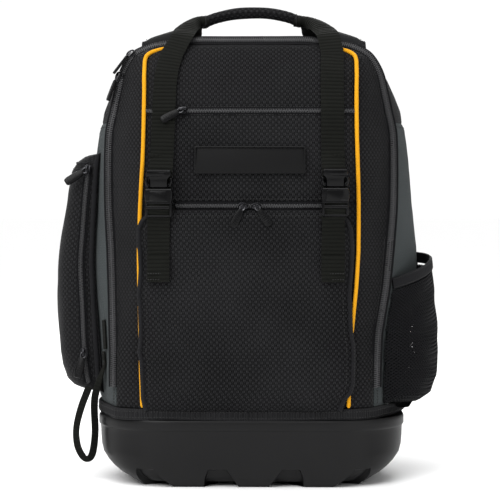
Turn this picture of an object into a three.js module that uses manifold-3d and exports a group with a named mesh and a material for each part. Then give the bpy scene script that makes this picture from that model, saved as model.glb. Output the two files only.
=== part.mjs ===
// Tool backpack with a moulded base. Millimetres, +Z up, the front faces -Y,
// and the origin is on the floor under the middle of the base.
import * as THREE from "three";
import { mergeVertices } from "three/addons/utils/BufferGeometryUtils.js";
import Module from "manifold-3d";

const wasm = await Module();
wasm.setup();

// Driving dimensions of the moulded base
const baseWidth = 340;
const baseDepth = 228;
const baseHeight = 72;
const baseCornerRadius = 88;
const baseWall = 3;
const baseFloor = 5;
const treadPitch = 70;
const treadHeight = 19;
const treadDepth = 8;
const treadLift = 5;
const treadRun = 40;
const treadTopWidth = 18;
const treadBottomWidth = 38;
const treadShift = 4;
const bandHeight = 12;
const bandProud = 1.5;
const bandThickness = 4;

// Driving dimensions of the cloth body
const bodyHeight = 398;
const bodyWidth = 374;
const coverWidth = 308;
const backWidth = 310;
const frontDepth = 116;
const middleDepth = 24;
const backDepth = 92;
const faceCrown = 6;
const topCrown = 6;
const backPadThickness = 14;
const backPadBevel = 9;
const cloth = 2;
const gap = 0.3;
const seamGap = 0.6;
const zipMargin = 2.4;

// Driving dimensions of the front pockets, the straps and the trim
const topZipperHeight = 405;
const pocketZipperHeight = 303;
const pocketZipperHalfLength = 78;
const pocketFoot = 3;
const pocketBulge = 13;
const pocketSliderSpacing = 13;
const zipperWidth = 9;
const zipperThickness = 1.8;
const pipingDiameter = 5.4;
const badgeWidth = 119;
const badgeHeight = 30;
const badgeThickness = 2.4;
const badgeCentreHeight = 351;
const webbingWidth = 25;
const webbingThickness = 1.8;
const strapSpacing = 184;
const lowerStrapLength = 68;
const buckleWidth = 31;
const buckleThickness = 8;
const socketLength = 30;
const plugLength = 18;
const buckleHeight = 291;
const slotHeight = 3.6;

// Driving dimensions of the handle and the shoulder straps
const gripLength = 112;
const gripDiameter = 12.5;
const gripRise = 35;
const gripSetBack = 20;
const shoulderSpacing = 184;
const shoulderSpread = 30;
const shoulderWidth = 66;
const shoulderThickness = 11;
const shoulderLength = 300;
const shoulderStandOff = 26;
const tailWidth = 25;
const adjusterWidth = 34;
const adjusterHeight = 26;
const adjusterThickness = 6;

// Driving dimensions of the side pockets
const sidePocketHeight = 266;
const sidePocketFoot = 11;
const sidePocketDepth = 36;
const meshPocketHeight = 150;
const meshPocketFoot = 2.5;
const meshPocketDepth = 33;
const meshSag = 8;
const meshSheet = 1.2;
const meshRows = 8;
const meshColumns = 12;
const meshStrand = 0.32;
const bindingWidth = 12;
const bindingThickness = 2.6;
const loopLength = 74;
const loopSpread = 20;
const loopWidth = 8;

// The body starts on top of the woven band that is sewn round the base.
const bandBottom = baseHeight + gap;
const bodyBottom = bandBottom + bandHeight + gap;
const bodyTop = bodyBottom + bodyHeight;
const layer = cloth + 2 * gap;

// The arch of the body, from the base up one side to the middle of the top. rise is a share of
// bodyHeight, face and seam of frontDepth, piping and cover of half coverWidth, widest of half
// bodyWidth, back of half backWidth, and crest of topCrown.
const arch = [
  { rise: 0, face: 0.966, piping: 0.72, cover: 0.929, seam: 0.74, widest: 0.92, back: 0.9, crest: 0 },
  { rise: 0.09, face: 0.99, piping: 0.727, cover: 0.93, seam: 0.72, widest: 0.94, back: 0.93, crest: 0 },
  { rise: 0.18, face: 1, piping: 0.735, cover: 0.936, seam: 0.69, widest: 0.963, back: 0.95, crest: 0 },
  { rise: 0.32, face: 1, piping: 0.747, cover: 0.961, seam: 0.62, widest: 0.995, back: 0.98, crest: 0 },
  { rise: 0.43, face: 1, piping: 0.753, cover: 0.98, seam: 0.57, widest: 1, back: 1, crest: 0 },
  { rise: 0.57, face: 1, piping: 0.753, cover: 1, seam: 0.517, widest: 0.968, back: 1, crest: 0 },
  { rise: 0.735, face: 0.95, piping: 0.743, cover: 0.999, seam: 0.466, widest: 0.936, back: 0.985, crest: 0 },
  { rise: 0.81, face: 0.907, piping: 0.741, cover: 0.965, seam: 0.44, widest: 0.898, back: 0.95, crest: 0 },
  { rise: 0.865, face: 0.855, piping: 0.742, cover: 0.935, seam: 0.43, widest: 0.856, back: 0.91, crest: 0 },
  { rise: 0.915, face: 0.785, piping: 0.745, cover: 0.903, seam: 0.422, widest: 0.8, back: 0.86, crest: 0.1 },
  { rise: 0.957, face: 0.69, piping: 0.738, cover: 0.84, seam: 0.431, widest: 0.72, back: 0.78, crest: 0.3 },
  { rise: 0.975, face: 0.64, piping: 0.69, cover: 0.766, seam: 0.448, widest: 0.655, back: 0.71, crest: 0.5 },
  { rise: 0.987, face: 0.595, piping: 0.585, cover: 0.67, seam: 0.466, widest: 0.575, back: 0.62, crest: 0.75 },
  { rise: 0.996, face: 0.545, piping: 0.43, cover: 0.49, seam: 0.483, widest: 0.425, back: 0.46, crest: 0.95 },
  { rise: 1, face: 0.52, piping: 0.338, cover: 0.38, seam: 0.49, widest: 0.33, back: 0.36, crest: 1 },
  { rise: 1, face: 0.52, piping: 0.17, cover: 0.19, seam: 0.49, widest: 0.165, back: 0.18, crest: 1 },
  { rise: 1, face: 0.52, piping: 0, cover: 0, seam: 0.49, widest: 0, back: 0, crest: 1 },
];
const crownRow = arch.length - 1;
const faceTopRow = arch.findIndex((row) => row.rise === 1);
const shoulderRow = 6.55;

// Reads a table of named columns at a fractional row.
function rowAt(table, u) {
  const low = Math.max(0, Math.min(table.length - 2, Math.floor(u)));
  const row = {};
  for (const name of Object.keys(table[low])) {
    row[name] = THREE.MathUtils.lerp(table[low][name], table[low + 1][name], u - low);
  }
  return row;
}

// Finds the fractional row at which a rising column reaches a value.
function rowOf(table, name, value) {
  let i = 0;
  while (i < table.length - 2 && table[i + 1][name] <= value) {
    i += 1;
  }
  return i + (value - table[i][name]) / (table[i + 1][name] - table[i][name]);
}

const rowOfHeight = (z) => rowOf(arch.slice(0, faceTopRow + 1), "rise", (z - bodyBottom) / bodyHeight);

// The section of the body at one row of the arch, with its lengths in millimetres.
function sectionAt(u) {
  const row = rowAt(arch, u);
  return {
    z: bodyBottom + row.rise * bodyHeight,
    lift: row.crest * topCrown,
    face: -row.face * frontDepth,
    piping: (row.piping * coverWidth) / 2,
    cover: (row.cover * coverWidth) / 2,
    seam: -row.seam * frontDepth,
    widest: (row.widest * bodyWidth) / 2,
    back: (row.back * backWidth) / 2,
  };
}

const quadratic = (a, b, c, t) => a * (1 - t) * (1 - 2 * t) + 4 * b * t * (1 - t) + c * t * (2 * t - 1);
const bezier = (a, b, c, t) => a * (1 - t) * (1 - t) + 2 * b * t * (1 - t) + c * t * t;

// Stations round a section: the middle of the front, the piping, the zip, the widest line, the back.
const pipingStation = 1;
const zipStation = 2;
const backStation = 4;
const shoulderShare = 0.7;

// How fast the side of the body widens behind the zip, so that the front runs into it smoothly.
function flareOf(s) {
  return (4 * s.widest - 3 * s.cover - s.back) / (4 * middleDepth - 3 * s.seam - backDepth);
}

// A point of the body's outer surface. side is -1 on the left and 1 on the right.
function bodyPoint(u, v, side) {
  const s = sectionAt(u);
  if (v <= pipingStation) {
    const x = s.piping * v;
    return new THREE.Vector3(side * x, s.face + faceCrown * v * v, s.z);
  }
  if (v <= zipStation) {
    const t = v - pipingStation;
    const start = s.face + faceCrown;
    const reach = (s.seam - start) * shoulderShare;
    const x = bezier(s.piping, s.cover - flareOf(s) * reach, s.cover, t);
    return new THREE.Vector3(side * x, bezier(start, s.seam - reach, s.seam, t), s.z);
  }
  const t = (v - zipStation) / (backStation - zipStation);
  const x = quadratic(s.cover, s.widest, s.back, t);
  const y = quadratic(s.seam, middleDepth, backDepth, t);
  return new THREE.Vector3(side * x, y, s.z + s.lift * 4 * t * (1 - t));
}

const inside = new THREE.Vector3(0, 0, bodyBottom + bodyHeight / 2);
const step = 0.02;

// The outward normal of a surface that is given as a function of two values.
function normalOf(surface, a, b) {
  const across = surface(a + step, b).sub(surface(a - step, b));
  const along = surface(a, b + step).sub(surface(a, b - step));
  const normal = across.cross(along).normalize();
  return normal.dot(surface(a, b).sub(inside)) < 0 ? normal.negate() : normal;
}

// A frame on a surface, lifted off it: a place and the way out.
function onSurface(surface, a, b, lift) {
  const n = normalOf(surface, a, b);
  return { p: surface(a, b).addScaledVector(n, lift), n };
}

// Solids

// Turns a closed geometry's faces so that they point out.
function facingOut(geometry) {
  const p = geometry.getAttribute("position");
  const index = geometry.index.array;
  const a = new THREE.Vector3();
  const b = new THREE.Vector3();
  const c = new THREE.Vector3();
  let volume = 0;
  for (let i = 0; i < index.length; i += 3) {
    a.fromBufferAttribute(p, index[i]);
    b.fromBufferAttribute(p, index[i + 1]);
    c.fromBufferAttribute(p, index[i + 2]);
    volume += a.dot(b.cross(c));
  }
  if (volume < 0) {
    for (let i = 0; i < index.length; i += 3) {
      [index[i + 1], index[i + 2]] = [index[i + 2], index[i + 1]];
    }
  }
  geometry.computeVertexNormals();
  return geometry;
}

function geometryOf(points, index) {
  const geometry = new THREE.BufferGeometry().setFromPoints(points);
  geometry.setIndex(index);
  return facingOut(geometry);
}

// A closed sheet through a grid of frames, from its inner to its outer offset along the normals.
function sheet(frames, outer, inner) {
  const rows = frames.length;
  const columns = frames[0].length;
  const last = columns - 1;
  const points = [];
  for (const offset of [outer, inner]) {
    for (const row of frames) {
      for (const frame of row) {
        points.push(frame.p.clone().addScaledVector(frame.n, offset));
      }
    }
  }
  const at = (i, j, k) => k * rows * columns + i * columns + j;
  const index = [];
  const quad = (a, b, c, d) => index.push(a, b, c, a, c, d);
  for (let i = 0; i + 1 < rows; i += 1) {
    for (let j = 0; j + 1 < columns; j += 1) {
      quad(at(i, j, 0), at(i, j + 1, 0), at(i + 1, j + 1, 0), at(i + 1, j, 0));
      quad(at(i, j, 1), at(i + 1, j, 1), at(i + 1, j + 1, 1), at(i, j + 1, 1));
    }
    quad(at(i, 0, 1), at(i, 0, 0), at(i + 1, 0, 0), at(i + 1, 0, 1));
    quad(at(i, last, 0), at(i, last, 1), at(i + 1, last, 1), at(i + 1, last, 0));
  }
  for (let j = 0; j + 1 < columns; j += 1) {
    quad(at(0, j, 0), at(0, j, 1), at(0, j + 1, 1), at(0, j + 1, 0));
    quad(at(rows - 1, j, 1), at(rows - 1, j, 0), at(rows - 1, j + 1, 0), at(rows - 1, j + 1, 1));
  }
  return geometryOf(points, index);
}

// A closed net through a function of two shares, with one window in each cell.
function net(frameAt, rows, columns, strand, thickness) {
  const points = [];
  const index = [];
  const quad = (a, b, c, d) => index.push(a, b, c, a, c, d);
  const known = new Map();
  const vertex = (i, j, k) => {
    const key = [i.toFixed(4), j.toFixed(4), k].join();
    if (!known.has(key)) {
      const frame = frameAt(i / rows, j / columns);
      known.set(key, points.length);
      points.push(frame.p.addScaledVector(frame.n, k * thickness));
    }
    return known.get(key);
  };
  const corners = [[0, 0], [0, 1], [1, 1], [1, 0]];
  for (let i = 0; i < rows; i += 1) {
    for (let j = 0; j < columns; j += 1) {
      const rim = (c, k) => vertex(i + corners[c][0], j + corners[c][1], k);
      const hole = (c, k) => {
        const [di, dj] = corners[c];
        return vertex(i + (di ? 1 - strand / 2 : strand / 2), j + (dj ? 1 - strand / 2 : strand / 2), k);
      };
      for (let c = 0; c < 4; c += 1) {
        const d = (c + 1) % 4;
        quad(rim(c, 1), rim(d, 1), hole(d, 1), hole(c, 1));
        quad(rim(c, 0), hole(c, 0), hole(d, 0), rim(d, 0));
        quad(hole(c, 1), hole(d, 1), hole(d, 0), hole(c, 0));
      }
      const edges = [[0, i === 0], [1, j === columns - 1], [2, i === rows - 1], [3, j === 0]];
      for (const [c, onRim] of edges) {
        const d = (c + 1) % 4;
        if (onRim) {
          quad(rim(c, 0), rim(d, 0), rim(d, 1), rim(c, 1));
        }
      }
    }
  }
  return geometryOf(points, index);
}

// Closed loops of points joined into one solid with flat ends.
function loft(loops) {
  const count = loops[0].length;
  const points = loops.flat();
  const index = [];
  for (let i = 0; i + 1 < loops.length; i += 1) {
    for (let j = 0; j < count; j += 1) {
      const k = (j + 1) % count;
      const a = i * count;
      index.push(a + j, a + k, a + count + k, a + j, a + count + k, a + count + j);
    }
  }
  const last = (loops.length - 1) * count;
  for (let j = 1; j + 1 < count; j += 1) {
    index.push(0, j + 1, j, last, last + j, last + j + 1);
  }
  return geometryOf(points, index);
}

// Sections that a strap or a pad is swept through, as shares of half its width and of its thickness.
const flatSection = [[-1, 0], [1, 0], [1, 1], [-1, 1]];
const padSection = [[-1, 0.35], [-0.8, 0], [0.8, 0], [1, 0.35], [1, 0.65], [0.8, 1], [-0.8, 1], [-1, 0.65]];

// A strap swept along frames that may each have their own width.
function strap(frames, width, thickness, section = flatSection) {
  const loops = frames.map((frame, i) => {
    const before = frames[Math.max(0, i - 1)].p;
    const after = frames[Math.min(frames.length - 1, i + 1)].p;
    const along = after.clone().sub(before).normalize();
    const across = along.clone().cross(frame.n).normalize();
    const out = across.clone().cross(along).normalize();
    const half = (frame.width ?? width) / 2;
    return section.map(([a, b]) =>
      frame.p.clone().addScaledVector(across, a * half).addScaledVector(out, b * thickness),
    );
  });
  return loft(loops);
}

// A round tube along a smooth curve through a few points.
function tube(points, diameter, sides, steps) {
  const circle = new THREE.Shape();
  for (let i = 0; i < sides; i += 1) {
    const angle = (i * 2 * Math.PI) / sides;
    const x = (Math.cos(angle) * diameter) / 2;
    const y = (Math.sin(angle) * diameter) / 2;
    if (i === 0) {
      circle.moveTo(x, y);
    } else {
      circle.lineTo(x, y);
    }
  }
  circle.closePath();
  const extrudePath = new THREE.CatmullRomCurve3(points);
  return new THREE.ExtrudeGeometry(circle, { steps, bevelEnabled: false, extrudePath });
}

function shapeOf(points) {
  return new THREE.Shape(points.map(([x, y]) => new THREE.Vector2(x, y)));
}

const weldDistance = 1e-4;

function solidOf(geometry) {
  const bare = geometry.clone();
  bare.deleteAttribute("normal");
  bare.deleteAttribute("uv");
  const merged = mergeVertices(bare, weldDistance);
  const vertProperties = merged.getAttribute("position").array;
  const triVerts = new Uint32Array(merged.index.array);
  return new wasm.Manifold(new wasm.Mesh({ numProp: 3, vertProperties, triVerts }));
}

function geometryFrom(solid) {
  const mesh = solid.getMesh();
  const geometry = new THREE.BufferGeometry();
  geometry.setAttribute("position", new THREE.BufferAttribute(new Float32Array(mesh.vertProperties), 3));
  geometry.setIndex(new THREE.BufferAttribute(new Uint32Array(mesh.triVerts), 1));
  geometry.computeVertexNormals();
  return geometry;
}

// Materials
const finishes = {
  black_fabric: { color: 0x17181a, roughness: 0.95, metalness: 0 },
  grey_fabric: { color: 0x4b4f52, roughness: 0.95, metalness: 0 },
  webbing: { color: 0x1b1d1b, roughness: 0.8, metalness: 0 },
  yellow_piping: { color: 0xf5b52a, roughness: 0.6, metalness: 0 },
  base_plastic: { color: 0x2b2b2c, roughness: 0.5, metalness: 0 },
  buckle_plastic: { color: 0x141415, roughness: 0.35, metalness: 0 },
  badge_rubber: { color: 0x101011, roughness: 0.5, metalness: 0 },
  zipper_tape: { color: 0x141516, roughness: 0.7, metalness: 0 },
  zipper_metal: { color: 0x2a2b2d, roughness: 0.3, metalness: 1 },
  zipper_pull: { color: 0x18191a, roughness: 0.5, metalness: 0 },
  mesh_fabric: { color: 0x1c1d1f, roughness: 0.8, metalness: 0 },
  padding: { color: 0x191a1c, roughness: 0.95, metalness: 0 },
};

const group = new THREE.Group();

function add(name, finish, geometry) {
  const mesh = new THREE.Mesh(geometry, new THREE.MeshStandardMaterial(finishes[finish]));
  mesh.name = name;
  group.add(mesh);
  return mesh;
}

const sides = [
  { name: "left", side: -1 },
  { name: "right", side: 1 },
];

// Moulded base

// The side wall of the base. rise is a share of baseHeight, side and front are shares of baseTaper
// that the wall stands in from the rim, across and along the bag, and radius of baseCornerRadius.
const baseTaper = 50;
const baseProfile = [
  { rise: 0, side: 1, front: 0.16, radius: 0.42 },
  { rise: 0.11, side: 0.74, front: 0.06, radius: 0.5 },
  { rise: 0.174, side: 0.56, front: 0.05, radius: 0.57 },
  { rise: 0.333, side: 0.25, front: 0.05, radius: 0.75 },
  { rise: 0.444, side: 0.12, front: 0.05, radius: 0.85 },
  { rise: 0.62, side: 0.05, front: 0.04, radius: 0.95 },
  { rise: 0.84, side: 0.04, front: 0.04, radius: 0.97 },
  { rise: 0.87, side: 0, front: 0, radius: 1 },
  { rise: 1, side: 0, front: 0, radius: 1 },
];
const baseCornerSteps = 6;

// A rounded rectangle, as points in order round it.
function roundedLoop(width, depth, radius, z) {
  const loop = [];
  const corners = [[1, 1], [-1, 1], [-1, -1], [1, -1]];
  corners.forEach(([sx, sy], corner) => {
    for (let i = 0; i <= baseCornerSteps; i += 1) {
      const angle = ((corner + i / baseCornerSteps) * Math.PI) / 2;
      const x = sx * (width / 2 - radius) + radius * Math.cos(angle);
      const y = sy * (depth / 2 - radius) + radius * Math.sin(angle);
      loop.push(new THREE.Vector3(x, y, z));
    }
  });
  return loop;
}

function baseLoop(row, inset, z) {
  const across = 2 * (row.side * baseTaper + inset);
  const along = 2 * (row.front * baseTaper + inset);
  const radius = row.radius * baseCornerRadius - inset;
  return roundedLoop(baseWidth - across, baseDepth - along, radius, z);
}

// The place and direction of a point of the foot, at a distance round it from the middle of the front.
function footPlace(distance) {
  const foot = baseProfile[0];
  const radius = foot.radius * baseCornerRadius;
  const straight = baseWidth / 2 - foot.side * baseTaper - radius;
  const flank = baseDepth / 2 - foot.front * baseTaper - radius;
  const arc = (radius * Math.PI) / 2;
  if (distance <= straight) {
    return { x: distance, y: -flank - radius, angle: 0 };
  }
  if (distance <= straight + arc) {
    const angle = (distance - straight) / radius;
    return { x: straight + radius * Math.sin(angle), y: -flank - radius * Math.cos(angle), angle };
  }
  if (distance <= straight + arc + 2 * flank) {
    return { x: straight + radius, y: -flank + distance - straight - arc, angle: Math.PI / 2 };
  }
  const turned = distance - straight - arc - 2 * flank;
  const angle = Math.PI / 2 + Math.min(turned, arc) / radius;
  const past = Math.max(turned - arc, 0);
  return { x: straight + radius * Math.sin(angle) - past, y: flank - radius * Math.cos(angle), angle };
}

// Half the way round the foot.
function halfFoot() {
  const foot = baseProfile[0];
  const radius = foot.radius * baseCornerRadius;
  const across = baseWidth - 2 * foot.side * baseTaper;
  const along = baseDepth - 2 * foot.front * baseTaper;
  return across + along - 4 * radius + Math.PI * radius;
}

// The room between two lugs of the tread, before the core of the base is taken from it.
function treadRoom(distance, side) {
  const outline = shapeOf([
    [-treadBottomWidth / 2, -treadHeight],
    [treadBottomWidth / 2, -treadHeight],
    [treadBottomWidth / 2, 0],
    [treadTopWidth / 2, treadHeight],
    [-treadTopWidth / 2, treadHeight],
    [-treadBottomWidth / 2, 0],
  ]);
  const depth = treadRun + baseTaper;
  const room = new THREE.ExtrudeGeometry(outline, { depth, bevelEnabled: false });
  const { x, y, angle } = footPlace(distance);
  room.rotateX(Math.PI / 2).translate(0, treadRun, 0);
  return solidOf(room.rotateZ(side * angle).translate(side * x, y, 0));
}

// What is left of the base between the lugs.
function treadCore() {
  const low = rowAt(baseProfile, rowOf(baseProfile, "rise", treadLift / baseHeight));
  const rows = baseProfile.filter((row) => row.rise * baseHeight > treadLift);
  const loops = rows.map((row) => baseLoop(row, treadDepth, row.rise * baseHeight));
  return solidOf(loft([baseLoop(low, treadDepth, treadLift), ...loops]));
}

function makeBase() {
  const outer = loft(baseProfile.map((row) => baseLoop(row, 0, row.rise * baseHeight)));
  const cavityFloor = treadHeight + baseWall;
  const low = rowAt(baseProfile, rowOf(baseProfile, "rise", cavityFloor / baseHeight));
  const top = baseProfile[baseProfile.length - 1];
  const wallTop = baseProfile[baseProfile.length - 3];
  const deep = 2 * baseHeight;
  const upper = loft([
    baseLoop(low, baseWall, cavityFloor),
    baseLoop(wallTop, baseWall, wallTop.rise * baseHeight),
    baseLoop(top, baseWall + bandThickness, baseHeight),
    baseLoop(top, baseWall + bandThickness, deep),
  ]);
  const sunk = treadDepth + 2 * baseWall;
  const lower = loft([
    baseLoop(baseProfile[0], sunk, treadLift + baseFloor),
    baseLoop(baseProfile[0], sunk, cavityFloor + baseWall),
  ]);
  let solid = solidOf(outer).subtract(solidOf(upper)).subtract(solidOf(lower));
  const core = treadCore();
  for (const { side } of sides) {
    for (let at = treadPitch / 2; at < halfFoot() - treadPitch / 4; at += treadPitch) {
      solid = solid.subtract(treadRoom(at + side * treadShift, side).subtract(core));
    }
  }
  add("base_tub", "base_plastic", geometryFrom(solid));
}

// The outline of the foot of the body, all the way round, moved out by an offset.
function footOutline(offset) {
  const stations = [0, 0.5, 1, 1.33, 1.66, 2, 2.35, 2.7, 3, 3.3, 3.65, 4];
  const half = stations.map((v) => bodyPoint(0, v, 1));
  const corner = half[half.length - 1];
  const backFace = backDepth + backPadThickness;
  half.push(new THREE.Vector3(corner.x - backPadBevel, backFace, corner.z));
  half.push(new THREE.Vector3(0, backFace, corner.z));
  const left = half.slice(1, -1).reverse().map((p) => new THREE.Vector3(-p.x, p.y, p.z));
  const loop = [...half, ...left];
  return loop.map((p, i) => {
    const before = loop[(i + loop.length - 1) % loop.length];
    const after = loop[(i + 1) % loop.length];
    const along = after.clone().sub(before).setZ(0).normalize();
    return new THREE.Vector2(p.x + along.y * offset, p.y - along.x * offset);
  });
}

function makeBand() {
  const shape = new THREE.Shape(footOutline(bandProud));
  shape.holes.push(new THREE.Path(footOutline(bandProud - bandThickness)));
  const band = new THREE.ExtrudeGeometry(shape, { depth: bandHeight, bevelEnabled: false });
  add("base_binding", "webbing", band.translate(0, 0, bandBottom));
}

// Cloth body

const range = (from, to, count) =>
  Array.from({ length: count + 1 }, (_, i) => THREE.MathUtils.lerp(from, to, i / count));

// The rows of the arch from one row to another, with the table's own rows between them.
function rowsBetween(from, to) {
  const own = arch.map((_, i) => i).filter((i) => i > from + step && i < to - step);
  return [from, ...own, to];
}

// A cloth wall of the body between two rows and two stations, on one side.
function bodyWall(rows, stations, side) {
  const surface = (u, v) => bodyPoint(u, v, side);
  const frames = rows.map((u) => stations.map((v) => onSurface(surface, u, v, 0)));
  return sheet(frames, 0, -cloth);
}

// A point of the front face at a signed share of the way to the piping.
const facePoint = (u, share) => bodyPoint(u, Math.abs(share), share < 0 ? -1 : 1);

// A frame on the front face at a real place, lifted off it.
function onFace(x, z, lift) {
  const u = rowOfHeight(z);
  const share = x / sectionAt(u).piping;
  return onSurface(facePoint, u, share, lift);
}

// The arch seen as one line, w rows away from the middle of the top.
const archSurface = (w, v) => bodyPoint(crownRow - Math.abs(w), v, w < 0 ? -1 : 1);

const stripWidth = 70;
const seamShare = seamGap / stripWidth;
const zipShare = zipMargin / stripWidth;
const faceColumnCount = 8;
const stripColumnCount = 4;
const gussetColumnCount = 6;

function makeBody() {
  const faceShare = 1 - seamGap / coverWidth;
  const faceRows = rowsBetween(0, rowOfHeight(bodyTop - zipMargin));
  const faceColumns = range(-faceShare, faceShare, faceColumnCount);
  const face = faceRows.map((u) => faceColumns.map((share) => onSurface(facePoint, u, share, 0)));
  add("front_panel", "black_fabric", sheet(face, 0, -cloth));
  const stripStations = range(pipingStation + seamShare, zipStation - zipShare, stripColumnCount);
  const gussetStations = range(zipStation + zipShare, backStation, gussetColumnCount);
  const greyRows = rowsBetween(0, shoulderRow - seamShare);
  for (const { name, side } of sides) {
    add(`front_side_${name}`, "black_fabric", bodyWall(faceRows, stripStations, side));
    add(`side_panel_${name}`, "grey_fabric", bodyWall(greyRows, gussetStations, side));
  }
  const rise = rowsBetween(shoulderRow + seamShare, crownRow);
  const climb = rise.map((u) => u - crownRow);
  const over = [...climb, ...climb.slice(0, -1).reverse().map((w) => -w)];
  const top = over.map((w) =>
    gussetStations.map((v) => {
      const nudge = Math.abs(w) < step ? 0 : w;
      return onSurface(archSurface, nudge, v, 0);
    }),
  );
  add("top_gusset", "black_fabric", sheet(top, 0, -cloth));
}

// The outline of the back of the body, moved in by an inset, at one depth.
function backLoop(inset, y) {
  const right = arch.map((_, u) => bodyPoint(u, backStation, 1));
  const left = right.slice(0, -1).reverse().map((p) => new THREE.Vector3(-p.x, p.y, p.z));
  const loop = [...right, ...left];
  return loop.map((p, i) => {
    const before = loop[(i + loop.length - 1) % loop.length];
    const after = loop[(i + 1) % loop.length];
    const along = after.clone().sub(before).setY(0).normalize();
    return new THREE.Vector3(p.x - along.z * inset, y, p.z + along.x * inset);
  });
}

const backPadRound = 0.3;

function makeBackPanel() {
  const front = backDepth + gap;
  const back = backDepth + backPadThickness;
  const loops = [
    backLoop(0, front),
    backLoop(0, back - backPadBevel),
    backLoop(backPadBevel * backPadRound, back - backPadBevel * backPadRound),
    backLoop(backPadBevel, back),
  ];
  add("back_panel", "padding", loft(loops));
}

// Front face: pocket panels, pocket, piping and zips

// The panels of the front stop short of the piping.
const panelEdge = pipingDiameter / 2 + 2 * gap;
const panelColumns = 6;

// A cloth panel on the front face between two heights.
function facePanel(low, high) {
  return rowsBetween(rowOfHeight(low), rowOfHeight(high)).map((u) => {
    const share = 1 - panelEdge / sectionAt(u).piping;
    return range(-share, share, panelColumns).map((at) => onSurface(facePoint, u, at, gap));
  });
}

const zipRoom = zipperWidth / 2 + gap;
const pocketTop = pocketZipperHeight - zipRoom;
const pocketBottom = bodyBottom + pocketFoot;

function makeFacePanels() {
  const top = facePanel(topZipperHeight + zipRoom, bodyTop - 2 * zipMargin);
  add("top_pocket", "black_fabric", sheet(top, cloth, 0));
  const middle = facePanel(pocketZipperHeight + zipRoom, topZipperHeight - zipRoom);
  add("middle_pocket", "black_fabric", sheet(middle, cloth, 0));
}

// How far the lower pocket stands out, in shares of its height and of pocketBulge.
const pocketRise = [
  { rise: 0, bulge: 0 },
  { rise: 0.02, bulge: 0.5 },
  { rise: 0.06, bulge: 0.82 },
  { rise: 0.15, bulge: 1 },
  { rise: 0.4, bulge: 0.98 },
  { rise: 0.65, bulge: 0.8 },
  { rise: 0.85, bulge: 0.52 },
  { rise: 0.95, bulge: 0.33 },
  { rise: 1, bulge: 0.3 },
];
const pocketSides = [-1, -0.975, -0.93, -0.82, -0.5, 0, 0.5, 0.82, 0.93, 0.975, 1];
const pocketRoundness = 10;

const pocketRowOf = (z) => rowOf(pocketRise, "rise", (z - pocketBottom) / (pocketTop - pocketBottom));
const pocketHalf = (z) => sectionAt(rowOfHeight(z)).piping - panelEdge;

// The inner face of the lower pocket at a row of its table and a share of its half width.
function pocketPoint(i, share) {
  const row = rowAt(pocketRise, i);
  const z = THREE.MathUtils.lerp(pocketBottom, pocketTop, row.rise);
  const edge = 1 - Math.abs(share) ** pocketRoundness;
  const frame = onFace(share * pocketHalf(z), z, 0);
  return frame.p.addScaledVector(frame.n, 2 * gap + row.bulge * edge * pocketBulge);
}

// A frame on the outside of the lower pocket at a real place.
function onPocket(x, z, lift) {
  return onSurface(pocketPoint, pocketRowOf(z), x / pocketHalf(z), cloth + lift);
}

// How far the front stands off its face at a height, with the lower pocket on it or a flat panel.
function standOff(z) {
  const bulge = z < pocketTop ? rowAt(pocketRise, pocketRowOf(z)).bulge * pocketBulge : 0;
  return 2 * gap + bulge + cloth;
}

function makeLowerPocket() {
  const frames = pocketRise.map((_, i) => pocketSides.map((share) => onSurface(pocketPoint, i, share, 0)));
  add("lower_pocket", "black_fabric", sheet(frames, cloth, 0));
}

const pipingTop = 0.957;
const pipingHook = 4.5;
const pipingHookRow = 0.3;
const pipingSides = 6;
const pipingSteps = 22;

function makePiping() {
  const lift = 2 * gap + pipingDiameter / 2;
  const end = rowOf(arch, "rise", pipingTop);
  for (const { name, side } of sides) {
    const surface = (u, v) => bodyPoint(u, v, side);
    const points = rowsBetween(0, end).map((u) => onSurface(surface, u, pipingStation, lift).p);
    points[0].z += lift;
    points[points.length - 1] = onSurface(surface, end, pipingStation, lift + layer / 2).p;
    const hook = pipingStation - pipingHook / sectionAt(end).piping;
    points.push(onSurface(surface, end + pipingHookRow, hook, lift + layer + gap).p);
    add(`piping_${name}`, "yellow_piping", tube(points, pipingDiameter, pipingSides, pipingSteps));
  }
}

// A zip across the front face at one height, between two places.
function faceZip(from, to, z) {
  return range(from, to, panelColumns).map((x) => onFace(x, z, gap));
}

const zipFoot = 0.055;
const zipLift = 3 * gap;

// A frame on the seam of the main zip, w rows away from the middle of the top.
function onZip(w, lift) {
  return onSurface(archSurface, Math.abs(w) < step ? 0 : w, zipStation, lift);
}

function makeZips() {
  const foot = rowOf(arch, "rise", zipFoot);
  const climb = rowsBetween(foot, crownRow).map((u) => u - crownRow);
  const round = [...climb, ...climb.slice(0, -1).reverse().map((w) => -w)];
  const main = round.map((w) => onZip(w, zipLift));
  add("main_zipper", "zipper_tape", strap(main, zipperWidth, zipperThickness));
  const half = sectionAt(rowOfHeight(topZipperHeight)).piping - panelEdge;
  const top = faceZip(-half, half, topZipperHeight);
  add("top_zipper", "zipper_tape", strap(top, zipperWidth, zipperThickness));
  const length = pocketZipperHalfLength;
  const pocket = faceZip(-length, length, pocketZipperHeight);
  add("pocket_zipper", "zipper_tape", strap(pocket, zipperWidth, zipperThickness));
}

// Plates that stand on a surface: sliders, pulls, buckles and the badge

// Stands an extruded outline on a frame, with the outline's y axis along up.
function plateOn(frame, up, shape, thickness) {
  const across = up.clone().cross(frame.n).normalize();
  const upright = frame.n.clone().cross(across).normalize();
  const basis = new THREE.Matrix4().makeBasis(across, upright, frame.n.clone().normalize());
  basis.setPosition(frame.p);
  const plate = new THREE.ExtrudeGeometry(shape, { depth: thickness, bevelEnabled: false });
  return plate.applyMatrix4(basis);
}

// Scales an outline of shares to a real width and height.
const scaled = (outline, width, height) => shapeOf(outline.map(([x, y]) => [x * width, y * height]));

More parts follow.
